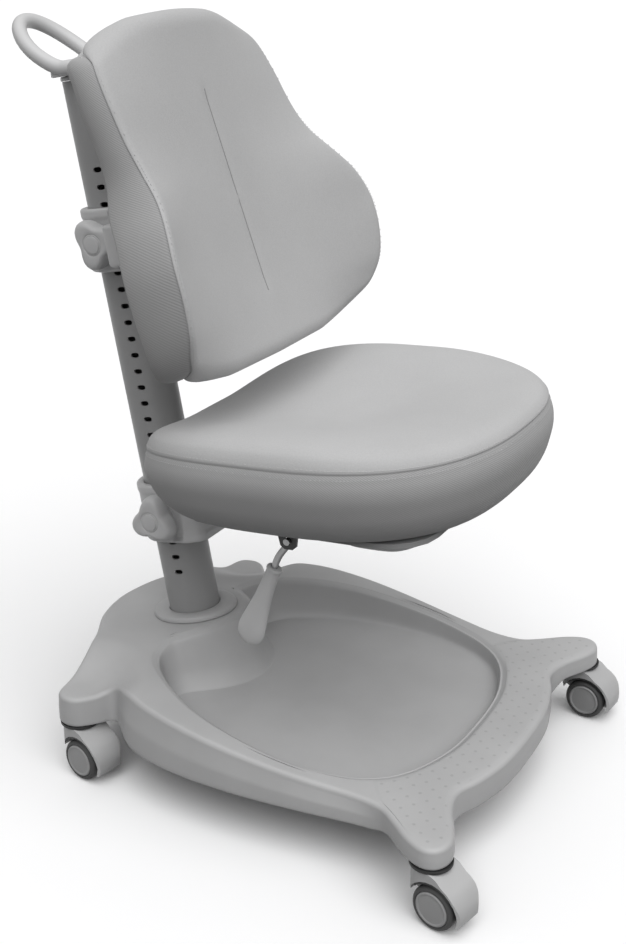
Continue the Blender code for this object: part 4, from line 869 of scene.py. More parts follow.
def tray_rows(start, lip, rim, foot, lobe):
    """Rows over the tray's lip, down its wall and onto its floor; the wall is softer round the dome."""
    crest = top_height(rim)
    guides = [start, raised(lip, top_height(lip) - 0.0006),
              raised(drawn_in(rim, -0.0015), crest - mix(0.0030, 0.0016, lobe))]
    for share, plain, at_lobe in TRAY_WALL:
        guides.append(raised(mix(rim, foot, share), mix(FLOOR_TOP, crest, mix(plain, at_lobe, lobe))))
    for inward, passes in ((0.0045, 12), (0.0110, 40)):
        guides.append(raised(softened(drawn_in(foot, inward), passes), FLOOR_TOP))
    rows = spline(np.stack(guides), 5)[1:]
    rows[..., 2] = np.maximum(rows[..., 2], FLOOR_TOP)
    return rows


def base_sheet(rounding):
    """Skin of the base, from the skirt's lower edge over the rail and down to the tray's floor.

    Each row is the curve of the skirt or of the rim, moved inward, at the height the base has there.
    """
    whole = np.concatenate([BASE_PLAN, BASE_PLAN[-2:0:-1] * (-1, 1)])
    outer = softened(spline(whole[:, 0], PLAN_STEPS, closed=True), 5)
    rim = softened(spline(whole[:, 1], PLAN_STEPS, closed=True), 16)
    station = np.arange(len(outer)) / PLAN_STEPS
    station = np.minimum(station, len(whole) - station)
    side = smooth_step((station - 10.8) / 1.5) * smooth_step((18.3 - station) / 1.5)
    lobe = smooth_step((station - len(BASE_PLAN) + len(TRAY_FOOT) + 1.0) / 4.0)
    lip = drawn_in(rim, -TRAY_LIP)
    skirt, edge = skirt_rows(outer, side, rounding)
    tread, proud = tread_rows(edge, lip, station)
    tray = tray_rows(tread[-1], lip, rim, tray_foot(whole[:, 1]), lobe)
    sheet = np.concatenate([np.stack(skirt + tread), tray])
    sheet = closed_end(sheet, (*TRAY_MIDDLE, FLOOR_TOP), shares=(0.12, 0.25, 0.4, 0.55, 0.7, 0.85, 1.0))
    areas = np.zeros(sheet.shape[:2])
    areas[len(skirt):len(skirt) + len(proud)] = proud
    return {"points": sheet, "area": areas}


def built_base(context):
    """The tray base as one wall of even thickness, and the bosses that hold the casters' stems."""
    mesh = mesh_of("tray_base", [base_sheet(context.scene.study_chair_sizes.edge_rounding)])
    facing = np.empty(len(mesh.polygons) * 3)
    mesh.polygons.foreach_get("normal", facing)
    if facing[2::3].mean() < 0:
        mesh.flip_normals()
    base = show("tray_base", mesh, "tread", "base", ("base_shell",), sharp=50)
    wall = base.modifiers.new("wall", "SOLIDIFY")
    wall.thickness = SHELL_WALL
    wall.offset = -1.0
    bosses = []
    for name in CASTERS:
        x, y = caster_pivot(name)
        high = float(top_height(np.array([x, y]))) - SHELL_WALL
        profile = rounded([(0.0062, ARM_BOTTOM), (0.0125, ARM_BOTTOM), (0.0145, high)], 0.001)
        profile = np.concatenate([profile, [(0.0062, high)]])
        bosses.append({"points": lathe(profile, 40) + (x, y, 0.0), "loop": True})
    made("stem_bosses", bosses, "shell", "base")


def built_collar():
    """Ring round the mast: a closed profile of (share of the way out, height) between two ovals."""
    inner = oval(MAST_HALF_WIDTH + 0.0004, MAST_HALF_DEPTH + 0.0004, 120)
    outer = oval(COLLAR_HALF_WIDTH, COLLAR_HALF_DEPTH, 120)
    low = DOME_HEIGHT / cos(MAST_LEAN) + 0.0008
    high = low + COLLAR_THICKNESS
    profile = np.array([(0.0, low), (0.0, high - 0.0010), (0.02, high - 0.0003), (0.06, high), (0.45, high),
                        (0.80, high - 0.0004), (0.90, high - 0.0010), (0.955, high - 0.0021),
                        (0.985, high - 0.0036), (1.0, high - 0.0052), (1.0, low + 0.0008), (0.985, low)])
    plan = mix(inner[None], outer[None], profile[:, :1, None])
    sheet = raised(plan, profile[:, 1:])
    ring = {"points": on_mast(sheet), "loop": True}
    made("collar_ring", [ring], "shell", "base", ("mast_collar",), sharp=60)


# ================================================================ mast
def mast_wall(depth):
    """Plan curves of one wall of the tube: the strip that holds the holes, and the rest round to it."""
    half_width, half_depth = MAST_HALF_WIDTH - depth, MAST_HALF_DEPTH - depth
    y = HOLE_OFFSET + np.linspace(-TILE_HALF_WIDTH, TILE_HALF_WIDTH, TILE_SIDE + 1)
    strip = np.stack([-half_width * np.sqrt(1 - (y / half_depth) ** 2), y], axis=-1)
    first = pi - np.arcsin(y[-1] / half_depth)
    last = -pi - np.arcsin(y[0] / half_depth)
    turn = np.linspace(first, last, 61)
    rest = np.stack([half_width * np.cos(turn), half_depth * np.sin(turn)], axis=-1)
    rest[0], rest[-1] = strip[-1], strip[0]
    return strip, rest


def hole_patches(depth, shares):
    """Patches of one wall, each blending its hole's outline (share 0) into the patch's border (share 1).

    They wrap the oval, because x follows from y on it.
    """
    step = np.arange(TILE_SIDE) / TILE_SIDE * 2 - 1
    one = np.ones(TILE_SIDE)
    border = np.concatenate([np.stack([one, step], 1), np.stack([-step, one], 1),
                             np.stack([-one, -step], 1), np.stack([step, -one], 1)])
    reach = (np.abs(border) ** 3).sum(axis=1, keepdims=True) ** (-1 / 3)
    hole = border * reach * HOLE_HALF
    border = border * (TILE_HALF_WIDTH, HOLE_PITCH / 2)
    patch = mix(hole, border, np.array(shares)[:, None, None])
    y = HOLE_OFFSET + patch[..., 0]
    x = -(MAST_HALF_WIDTH - depth) * np.sqrt(1 - (y / (MAST_HALF_DEPTH - depth)) ** 2)
    stations = HOLE_TOP - HOLE_PITCH * np.arange(HOLE_COUNT)
    return [stack(x, y, station + patch[..., 1]) for station in stations]


def mast_sheets():
    """Both walls of the tube, joined at both ends and through every hole."""
    low, high = HOLE_TOP - HOLE_PITCH * (HOLE_COUNT - 0.5), HOLE_TOP + HOLE_PITCH * 0.5
    sheets, rings, patches = [], [], []
    for depth, shares in ((MAST_WALL, (0.0, 1.0)), (0.0, (0.0, 0.06, 0.25, 0.6, 1.0))):
        strip, rest = mast_wall(depth)
        ring = np.concatenate([rest, strip[1:-1]])
        rings.append(ring)
        rows = np.linspace(low, high, HOLE_COUNT * TILE_SIDE + 1)[:, None]
        sheets.append({"points": raised(rest, rows), "ring": False})
        sheets += [raised(ring, np.linspace(*span, 9)[:, None])
                   for span in ((MAST_START, low), (high, MAST_END))]
        patches.append(hole_patches(depth, shares))
        sheets += patches[-1]
    sheets += [np.stack([raised(ring, z) for ring in rings]) for z in (MAST_START, MAST_END)]
    sheets += [np.stack([inner[0], outer[0]]) for inner, outer in zip(*patches)]
    return sheets


def built_mast():
    """The perforated oval tube."""
    mesh = mesh_of("mast", mast_sheets(), weld=MAST_WELD)
    mesh.transform(placing(MAST_FOOT, MAST_AXES))
    show("mast", mesh, "enamel", "base", ("mast_tube",))


def placing(origin, axes):
    """Matrix that carries a frame's own coordinates to the chair's."""
    return Matrix((*(tuple(axis[row] for axis in axes) + (origin[row],) for row in range(3)), (0, 0, 0, 1)))


def built_cap():
    """Cap on the mast: an oval wall with a rounded crown, closed to its middle."""
    ring = oval(MAST_HALF_WIDTH + 0.0012, MAST_HALF_DEPTH + 0.0012, 96)
    profile = rounded([(0.004, CAP_LOW), (0.0, CAP_LOW), (0.0, CAP_LOW + CAP_THICKNESS),
                       (0.010, CAP_LOW + CAP_THICKNESS + 0.0004)], (0.0004, 0.0022))
    sheet = closed_ends(walls(ring, profile))
    made("mast_end_cap", [on_mast(sheet)], "trim", "base", ("mast_cap",))


def built_handle(context):
    """Carrying loop: a closed bar, level over the mast and climbing to its rear, with a saddle on the cap."""
    radius = context.scene.study_chair_sizes.handle_radius
    middle = HANDLE_REACH - HANDLE_HALF_WIDTH
    wide, corner = HANDLE_HALF_WIDTH, HANDLE_CORNER
    turn = np.linspace(0, pi, 40)
    quarter = np.linspace(0, pi / 2, 12)
    over, along = corner * np.cos(quarter), corner * np.sin(quarter)
    rear = np.stack([wide * np.cos(turn), middle + wide * np.sin(turn)], axis=1)
    left = np.stack([-wide + corner - over, corner - HANDLE_FRONT - along], axis=1)
    right = np.stack([wide - corner + along, corner - HANDLE_FRONT - over], axis=1)
    plan = np.concatenate([rear, left, right])
    plan = eased(plan, 160, 6)
    climb = np.maximum(0.0, plan[:, 1] / HANDLE_REACH) ** HANDLE_CURL * HANDLE_LIFT
    path = raised(plan, climb)
    seat = CAP_LOW + CAP_THICKNESS + GAP
    loop = tube(path, radius, (0, 0, 1), sides=28, closed=True) + (0, 0, seat + radius)
    saddle = eased(oval(wide + radius * 0.5, HANDLE_FRONT + radius * 0.5, 120, 5.0), 120, 4)
    top = seat + radius * 1.5
    profile = rounded([(0.002, seat), (0.0, seat + 0.001), (0.001, top - 0.002), (0.012, top)],
                      (0.0005, 0.005))
    block = closed_ends(walls(saddle, profile))
    sheets = [{"points": on_mast(loop), "loop": True}, on_mast(block)]
    made("carrying_loop", sheets, "trim", "base", ("handle_loop",))


# ================================================================ clamps and knobs
def clamp_plan(nose):
    """Outline of a clamp in the mast's plan: half an oval, drawn out to a flat nose at the front."""
    half_width, half_depth = MAST_HALF_WIDTH + CLAMP_WALL, MAST_HALF_DEPTH + CLAMP_WALL
    turn = np.linspace(0, pi, 60)
    front, side = -half_depth - nose, half_width - 0.008
    rear = np.stack([half_width * np.cos(turn), half_depth * np.sin(turn)], axis=1)
    corner = np.array([(-half_width, front + 0.022), (-side, front + 0.006), (-side + 0.008, front),
                       (side - 0.008, front), (side, front + 0.006), (half_width, front + 0.022)])
    return eased(np.concatenate([rear, corner]), 260, 12)


def quarter_edge(radius, half, steps):
    """Profile of (distance inward, height) round the lower edge of a wall that is twice half high."""
    turn = np.linspace(0, pi / 2, steps)
    return np.stack([radius * (1 - np.sin(turn)), -half + radius * (1 - np.cos(turn))], axis=1)


def clamp_sheet(nose):
    """A clamp's skin: rounded wall outside, the mast's bore inside, and a hollow in each side."""
    ring = clamp_plan(nose)
    half = CLAMP_HEIGHT / 2
    foot = quarter_edge(CLAMP_EDGE, half, 6)
    middle = np.stack([np.zeros(34), np.linspace(CLAMP_EDGE - half, half - CLAMP_EDGE, 36)[1:-1]], axis=1)
    profile = np.concatenate([foot, middle, foot[::-1] * (1, -1)])
    distance, z = profile[:, :1], profile[:, 1:]
    beside = smooth_step((0.0085 - np.abs(ring[:, 1] + MAST_HALF_DEPTH * 0.78)) / 0.0035)
    beside = beside * (np.abs(ring[:, 0]) > MAST_HALF_WIDTH * 0.8)
    hollow = smooth_step((half - 0.0035 - np.abs(z)) / 0.0035) * beside * CLAMP_HOLLOW
    neck = CLAMP_NECK * smooth_step((half - 0.010 - np.abs(z)) / 0.002)
    normal = outward(ring)
    plan = ring - normal * (distance + hollow + neck)[..., None]
    skin = raised(plan, z)
    angle = np.arctan2(ring[:, 1] / MAST_HALF_DEPTH, ring[:, 0] / MAST_HALF_WIDTH)
    bore = np.stack([(MAST_HALF_WIDTH + CLAMP_FIT) * np.cos(angle),
                     (MAST_HALF_DEPTH + CLAMP_FIT) * np.sin(angle)], axis=1)
    lip = drawn_in(bore, -0.0012)
    inner = [raised(plan, z) for plan, z in (
        (mix(ring, lip, 0.5), half), (lip, half), (bore, half - 0.0012), (bore, 0.0), (bore, 0.0012 - half),
        (lip, -half), (mix(ring, lip, 0.5), -half))]
    return np.concatenate([skin, np.stack(inner)])


def built_clamp(name, body, station):
    """One sliding clamp with the boss that its pull-pin goes through."""
    sheets = [{"points": on_mast(clamp_sheet(NOSES[name]), station), "loop": True}]
    outer = MAST_HALF_WIDTH + CLAMP_WALL
    profile = rounded([(PIN_HOLE, outer - 0.006), (BOSS_RADIUS, outer - 0.006),
                       (BOSS_RADIUS, outer + BOSS_LENGTH), (PIN_HOLE, outer + BOSS_LENGTH)], 0.0008)
    sheets.append({"points": on_pin(lathe(profile), station), "loop": True})
    made(name + "_clamp_body", sheets, "trim", body, (name + "_clamp",), sharp=50)


def on_pin(points, station):
    """Place points whose Z runs along the pull-pin, out of the clamp's right side, and X up the mast."""
    return on_mast(stack(-points[..., 2], points[..., 1] + HOLE_OFFSET, points[..., 0]), station)


def built_knob(name, body, station, radius):
    """Three-lobed knob: rows are shares of the outline R (0.83 + 0.17 cos 3t), a circle further inside."""
    start = MAST_HALF_WIDTH + CLAMP_WALL + BOSS_LENGTH + KNOB_STANDOFF
    turn = full_turn(168)
    lobed = 0.83 + 0.17 * np.cos(3 * (turn - KNOB_TURNS[name]))
    rows = np.array([(0.40, 0.0), (0.78, 0.0), (0.90, 0.0010), (0.965, 0.0030), (0.99, 0.0060), (1.0, 0.0095),
                     (0.993, 0.0130), (0.965, 0.0165), (0.915, 0.0193), (0.845, 0.0211), (0.76, 0.0219),
                     (0.66, 0.0221), (0.56, 0.0219), (0.49, 0.0217), (0.465, 0.0214), (0.445, 0.0208),
                     (0.425, 0.0214), (0.40, 0.0217), (0.38, 0.0217), (0.365, 0.0212), (0.36, 0.0200)])
    share, height = rows[:, :1], rows[:, 1:] * KNOB_THICKNESS / 0.022
    reach = radius * share * mix(0.88, lobed, smooth_step((share - 0.40) / 0.45))
    sheet = closed_ends(stack(reach * np.cos(turn), reach * np.sin(turn), height + start))
    made(name + "_knob_grip", [on_pin(sheet, station)], "trim", body, (name + "_knob",), sharp=60)
    low, wide = start + KNOB_THICKNESS - 0.0018, KNOB_CAP_RADIUS
    profile = rounded([(0.0, low), (wide, low), (wide, low + 0.0022), (wide * 0.80, low + 0.0029),
                       (0.0, low + 0.0034)], (0.0003, 0.0008, 0.004))
    button = on_pin(lathe(profile), station)
    made(name + "_knob_button", [button], "trim", body, (name + "_knob_cap",), sharp=60)


def built_pin(name, body, station):
    """Pull-pin: turned shank that steps down to the tip that enters the mast."""
    tip = MAST_HALF_WIDTH + GAP
    end = MAST_HALF_WIDTH + CLAMP_WALL + BOSS_LENGTH + KNOB_STANDOFF + KNOB_THICKNESS * 0.7
    profile = rounded([(0.0, tip), (0.0015, tip), (0.0024, tip + 0.001), (0.0024, tip + 0.0065),
                       (0.0045, tip + 0.008), (0.0045, end), (0.0, end)], 0.0003)
    shank = on_pin(lathe(profile, 28), station)
    made(name + "_pull_pin", [shank], "zinc", body, (name + "_lock_pin",), sharp=60)


def built_bracket():
    """Yoke of the backrest: a rounded block whose front face follows the shell's slope."""
    depth = YOKE_REAR - YOKE_FRONT
    ring = eased(oval(YOKE_HALF_WIDTH, depth / 2, 200, 9.0), 200, 3) + (0, (YOKE_FRONT + YOKE_REAR) / 2)
    foot = quarter_edge(YOKE_EDGE, YOKE_HEIGHT / 2, 7)
    sheet = walls(ring, np.concatenate([foot, foot[::-1] * (1, -1)]))
    ahead = (YOKE_REAR - sheet[..., 1]) / depth
    sheet[..., 1] += sheet[..., 2] * tan(BACK_LEAN - MAST_LEAN) * ahead
    yoke = on_mast(closed_ends(sheet), BACKREST_STATION)
    made("backrest_yoke", [yoke], "trim", "backrest", ("backrest_bracket",), sharp=60)


# ================================================================ backrest
BACK_TABLE = spline(BACK_SECTIONS[::-1], 16)


def back_row(height, column):
    """A column of the backrest's table at any height."""
    return np.interp(height, BACK_TABLE[:, 0], BACK_TABLE[:, column])


def wing_share(plan):
    """How far out a point is: 0 in the middle, 1 at the face's edge."""
    return np.minimum(np.abs(plan[..., 0]) / (back_row(plan[..., 1], 1) - BACK_EDGE), 1.1)


def back_bow(plan):
    """How far the backrest's face stands behind its origin: flat in the middle, wings swept forward."""
    return back_row(plan[..., 1], 2) * wing_share(plan) ** BACK_WRAP


def back_rear(plan):
    """How far the cushion's rear stands behind its origin; the wings are deeper at their tips."""
    height = plan[..., 1]
    return back_bow(plan) + back_row(height, 3) + back_row(height, 4) * wing_share(plan) ** 4


def back_outline(count=520):
    """The backrest's outline, (across, up), from the middle of its lower edge and anticlockwise."""
    half = BACK_TABLE[::4, [1, 0]]
    half = np.concatenate([[(0.0, -0.1795)], half, [(0.0, 0.2135)]])
    whole = np.concatenate([half, half[-2:0:-1] * (-1, 1)])
    return eased(whole, count, 12)


def faces_of(outline, inset, y_of, shares):
    """Rows from an inset outline to the middle of the face, each point set back by y_of."""
    plan = drawn_in(outline, inset) * np.asarray(shares)[:, None, None]
    return stack(plan[..., 0], y_of(plan), plan[..., 1])


def dart_valley(plan):
    """Pull of the stitched dart: a soft valley down the middle, fading out at its ends."""
    ends = smooth_step((0.135 - plan[..., 1]) / 0.03) * smooth_step((plan[..., 1] + 0.120) / 0.03)
    return DART_DEPTH * np.exp(-(plan[..., 0] / DART_WIDTH) ** 2) * ends


def back_edge(outline):
    """Along the outline: the share of top or bottom end, and the width, angle and depth of the roll."""
    height = outline[:, 1]
    ends = smooth_step((height - 0.166) / 0.032) + smooth_step((-0.148 - height) / 0.024)
    upper = smooth_step(height / 0.05 + 0.5)
    roll = mix(BACK_ROLL[0], mix(BACK_ROLL[1], BACK_ROLL[2], upper), ends)
    thick = back_rear(outline) - back_bow(outline)
    depth = mix(mix(*BACK_ROLL_DEPTH, upper), (thick - 0.006) / (1 - cos(BACK_ROLL_TURN[1])), ends)
    return ends, roll, mix(*BACK_ROLL_TURN, ends), depth


def back_face_rows(outline, roll, reach, depth):
    """Rows from the middle of the face to its edge, and round the part of an oval that rolls over."""
    def face(plan):
        return back_bow(plan) + dart_valley(plan)

    inner = drawn_in(outline, roll[:, None])
    plan = inner * np.linspace(0, 1, 34)[1:, None, None]
    rows = [stack(part[:, 0], face(part), part[:, 1]) for part in plan]
    for share in np.linspace(0.08, 1.0, 12):
        part = drawn_in(outline, (roll * (1 - np.sin(reach * share)))[:, None])
        rows.append(stack(part[:, 0], face(part) + depth * (1 - np.cos(reach * share)), part[:, 1]))
    return rows


def back_side_rows(outline, full, inset, seam, bulge):
    """Rows of the side cloth: drawn in at the seam, out by a sine and round the hem."""
    rear = back_rear(outline) + BACK_LIP
    pinch = drawn_in(outline, (inset + SEAM_PINCH[0] * full)[:, None])
    rows = [stack(pinch[:, 0], seam + SEAM_PINCH[1], pinch[:, 1])]
    for share in (0.03, 0.08, 0.16, 0.28, 0.42, 0.56, 0.70, 0.82, 0.91):
        stand = SIDE_INSET - (bulge + SIDE_INSET) * sin(pi * share) ** 0.8
        part = drawn_in(outline, (inset + full * stand)[:, None])
        rows.append(stack(part[:, 0], mix(seam + 0.0012, rear - 0.0035, share), part[:, 1]))
    for turn in np.radians([0, 30, 60, 90]):
        part = drawn_in(outline, (inset + SIDE_INSET * full + HEM_RADIUS * (1 - cos(turn)))[:, None])
        rows.append(stack(part[:, 0], rear - HEM_RADIUS * (1 - sin(turn)), part[:, 1]))
    return rows


def backrest_rows(bulge):
    """Rows of the backrest cushion, the share of side cloth at each point, its outline, seam and sewn part.

    The face's edge is a short quarter oval at the sides, which the side cloth closes, and a full round
    at the top and bottom.
    """
    outline = back_outline()
    ends, roll, reach, depth = back_edge(outline)
    full = 1 - np.minimum(ends, 1.0)
    inset = roll * (1 - np.sin(reach))
    seam = back_bow(outline) + depth * (1 - np.cos(reach))
    face = back_face_rows(outline, roll, reach, depth)
    side = back_side_rows(outline, full, inset, seam, bulge)
    inner = drawn_in(outline, (inset + REAR_INSET)[:, None])
    plan = inner * np.linspace(1, 0, 12)[:, None, None]
    rear = [stack(part[:, 0], back_rear(part), part[:, 1]) for part in plan]
    sheet = np.stack(face + side + rear)
    sheet = np.concatenate([np.broadcast_to(sheet[0].mean(axis=0), sheet[:1].shape), sheet])
    area = np.zeros(sheet.shape[:2])
    area[len(face) + 1:len(face) + len(side) + 1] = 1 - smooth_step((ends - 0.45) / 0.3)
    return sheet, area, outline, seam, full > 0.55


def cloth_map(sheet, origin_row):
    """UV in metres: round the piece along u, and down the rows, from the seam, along v."""
    seam = np.concatenate([sheet[origin_row], sheet[origin_row, :1]])
    around = np.linalg.norm(np.diff(seam, axis=0), axis=1)
    u = np.concatenate([[0], np.cumsum(around)])
    down = np.linalg.norm(np.diff(sheet, axis=0), axis=2).mean(axis=1)
    v = np.concatenate([[0], np.cumsum(down), [0]])
    v[-1] = v[-2]
    return stack(u[None, :], (v - v[origin_row])[:, None], 0.0)[..., :2]


def seam_stitches(line, outwards, pitch, sewn=None, width=0.0008, height=0.0005, fill=0.62):
    """Stitches along the sewn part of a closed line, each a capsule laid on the cloth."""
    sewn = np.ones(len(line)) if sewn is None else sewn
    whole = np.concatenate([line, outwards, np.reshape(sewn, (-1, 1))], axis=1)
    span = np.linalg.norm(np.diff(np.concatenate([line, line[:1]]), axis=0), axis=1).sum()
    whole = evenly(whole, int(span / pitch), closed=True)
    along = np.roll(whole[:, :3], -1, axis=0) - np.roll(whole[:, :3], 1, axis=0)
    kept = whole[:, 6] > 0.5
    return list(capsules(whole[kept, :3], along[kept], whole[kept, 3:6], pitch * fill, width, height))


def built_backrest(context):
    """Backrest cushion with its seam, stitches, dart and welt, and the shell behind it."""
    sizes = context.scene.study_chair_sizes
    sheet, area, outline, seam, sewn = backrest_rows(sizes.bulge * 0.7)
    seam_row = int(np.argmax(area.max(axis=1)))
    grid = {"points": on_back(sheet), "area": area, "uv": cloth_map(sheet, seam_row)}
    cushion = made("backrest_pad", [grid], "cloth", "backrest", ("backrest_cushion",), sharp=75)

    normal = outward(outline)
    facing = stack(normal[:, 0], np.full(len(normal), -0.35), normal[:, 1])
    stitches = []
    for inward, back in ((0.0004, 0.0048), (0.0016, -0.0030)):
        plan = drawn_in(outline, inward)
        line = on_back(stack(plan[:, 0], seam + back, plan[:, 1]))
        stitches += seam_stitches(line, facing @ np.array(BACK_AXES), sizes.stitch_pitch, sewn)
    made("backrest_stitches", stitches, "thread", "backrest", weld=STITCH_WELD)

    # painted shade: a thin dark tube down the dart's valley, where its crease lies in shade
    height = np.linspace(*DART_SPAN, 120)
    plan = stack(0.0, height, 0.0)[..., :2]
    path = stack(0.0, back_bow(plan) + dart_valley(plan) - 0.0001, height)
    dart_shade_line = tube(path, 0.0005, (0, -1, 0), sides=8)
    made("backrest_dart_shade_line", [on_back(dart_shade_line)], "seam", "backrest")

    def behind(plan):
        return back_rear(plan) + 0.0004

    shell_outline = softened(outline, 8)
    shares = np.linspace(0, 1, 20)
    rows = [faces_of(shell_outline, SHELL_INSET, behind, shares)]
    for turn in np.radians([15, 45, 75, 105, 135, 165]):
        plan = drawn_in(shell_outline, SHELL_INSET - SHELL_ROUND * sin(turn))
        rows.append(stack(plan[:, 0], behind(plan) + SHELL_DEPTH / 2 * (1 - cos(turn)), plan[:, 1])[None])
    shares = shares[::-1]
    hollow = SHELL_HOLLOW * smooth_step((shares - 0.2) / 0.06) * smooth_step((0.86 - shares) / 0.06)
    far = faces_of(shell_outline, SHELL_INSET, behind, shares)
    far[..., 1] += SHELL_DEPTH - hollow[:, None]
    shell = on_back(np.concatenate(rows + [far]))
    made("backrest_rear_shell", [shell], "shell", "backrest", ("backrest_shell",), sharp=60)


# ================================================================ seat
def seat_plan(count=520):
    """The seat's outline: half a superellipse of a low power in front and one of a higher power behind."""
    turn = full_turn(count * 4) + pi / 2
    behind = np.sin(turn) > 0
    power = np.where(behind, SEAT_REAR_POWER, SEAT_FRONT_POWER)
    reach = np.where(behind, SEAT_REAR_LENGTH, SEAT_HALF_LENGTH)
    y = reach * np.sign(np.sin(turn)) * np.abs(np.sin(turn)) ** (2 / power)
    x = SEAT_HALF_WIDTH * np.sign(np.cos(turn)) * np.abs(np.cos(turn)) ** (2 / power)
    return eased(np.stack([x * (1 + SEAT_TAPER * y / SEAT_HALF_LENGTH), y], axis=1), count, 6)


def seat_form(points):
    """Bend the cushion: its front edge stands lower than its sides, and its rear sinks in the middle."""
    x, y, z = points[..., 0], points[..., 1], points[..., 2]
    ahead = smooth_step((SEAT_FALL_START - y) / SEAT_FALL_LENGTH)
    lifted = np.where(z > 0, z * mix(1.0, SEAT_FRONT_CROWN, ahead), z)
    behind = smooth_step((y - SEAT_DIP_START) / (SEAT_REAR_LENGTH - SEAT_DIP_START))
    inside = 1 - smooth_step((np.abs(x) - SEAT_DIP_FLAT) / SEAT_DIP_WIDTH)
    held = smooth_step(1.15 * (1 + z / CUSHION_DROP))
    return stack(x, y, lifted - SEAT_DIP * behind * inside * held)


def seat_rows(crown, dish, bulge):
    """Rows of the seat cushion: from the middle of its underside, up its side and over to its middle."""
    ring = seat_plan()
    boxing = np.concatenate([SEAT_TUCK, [(-bulge, -0.028), (-bulge, -0.016), (-bulge * 0.4, -0.005)]])
    rim = spline(SEAT_RIM * (1.0, crown), 4)
    lower = closed_end(walls(ring, spline(boxing, 5)[::-1]))[::-1]
    sheet = np.concatenate([lower, walls(ring, np.concatenate([SEAT_SEAM, rim]))])
    area = np.zeros(len(sheet))
    area[:len(lower) + 2] = 1.0
    share = np.linspace(1, 0, 44)[1:]
    plan = drawn_in(ring, SEAT_RIM[-1, 0]) * share[:, None, None]
    rise = crown - dish * smooth_step((1 - share) / 0.92)
    top = raised(plan, rise[:, None])
    return seat_form(np.concatenate([sheet, top])), np.concatenate([area, np.zeros(len(top))]), len(lower) + 1


def built_seat(context):
    """Seat cushion with its seam and stitches, and the moulded cover under its front."""
    sizes = context.scene.study_chair_sizes
    sheet, area, seam_row = seat_rows(sizes.crown, sizes.dish, sizes.bulge)
    grid = {"points": on_seat(sheet), "area": np.broadcast_to(area[:, None], sheet.shape[:2]),
            "uv": cloth_map(sheet, seam_row)}
    cushion = made("seat_pad", [grid], "cloth", "seat", ("seat_cushion",), sharp=75)
    ring = seat_plan()
    normal = outward(ring)
    stitches = []
    for height, inward, slope in ((0.0050, 0.0005, 0.8), (-0.0048, -sizes.bulge * 0.4, 0.0)):
        plan = drawn_in(ring, inward)
        facing = raised(normal, slope)
        line = seat_form(raised(plan, height))
        stitches += seam_stitches(on_seat(line), facing @ np.array(SEAT_AXES), sizes.stitch_pitch)
    made("seat_stitches", stitches, "thread", "seat", weld=STITCH_WELD)

    top = -CUSHION_DROP - PANEL_THICKNESS - GAP * 2
    plan = eased(oval(*COVER_HALF, 200, 3.6), 200, 4) + (0, COVER_MIDDLE)
    profile = rounded([(0.004, top), (0.0, top - 0.0005), (0.008, top - 0.008), (0.022, top - 0.0115)],
                      (0.0005, 0.006))
    cover = closed_ends(walls(plan, profile))
    made("seat_front_cover", [on_seat(cover)], "trim", "seat", ("seat_under_cover",), sharp=60)


# ================================================================ lever
def built_lever():
    """Lever: cross shaft, rod and a paddle grip lofted through ovals that widen to its end."""
    pivot = np.array(JOINTS["lever_pull"]["pos_m"])
    low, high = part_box("lever_shaft")
    ends = (high[0] - pivot[0], low[0] - pivot[0])
    shaft = rounded([(0.0, ends[1]), (0.004, ends[1]), (0.004, ends[0]), (0.0, ends[0])], 0.0006)
    shaft = lathe(shaft, 28)[..., [2, 0, 1]] + pivot
    made("lever_cross_shaft", [shaft], "zinc", "lever", ("lever_shaft",), sharp=60)

    swing = LEVER_LEAN - SEAT_TILT
    axes = (ACROSS, np.array([0.0, cos(swing), sin(swing)]), np.array([0.0, -sin(swing), cos(swing)]))
    route = spline([(0.0, 0.0, -LEVER_ROD_START), (0.0, 0.0040, -0.018), (0.0, 0.0075, -0.034),
                    (0.0, 0.0075, -LEVER_ROD_END)], 8)
    rod = in_frame(closed_ends(tube(route, LEVER_ROD_RADIUS, (1, 0, 0))), pivot, axes)
    made("lever_arm_rod", [rod], "zinc", "lever", ("lever_rod",), sharp=60)

    rows = spline(GRIP_SECTIONS, 5)
    turn = full_turn(56)
    grip = stack(rows[:, 2:3] * np.cos(turn), rows[:, 3:4] + rows[:, 1:2] * np.sin(turn),
                 -GRIP_START - GRIP_LENGTH * rows[:, :1])
    grip = in_frame(closed_ends(grip), pivot, axes)
    made("lever_paddle", [grip], "trim", "lever", ("lever_grip",), sharp=60)

    share = np.linspace(0, 1, 130)
    turn = 2 * pi * COIL_TURNS * share
    coil = stack(mix(*COIL_SPAN, share), COIL_RADIUS * np.cos(turn), COIL_RADIUS * np.sin(turn))
    spring = in_frame(tube(coil, COIL_WIRE, (1, 0, 0), sides=8), pivot, SEAT_AXES)
    made("lever_coil", [spring], "zinc", "seat", ("lever_spring",))


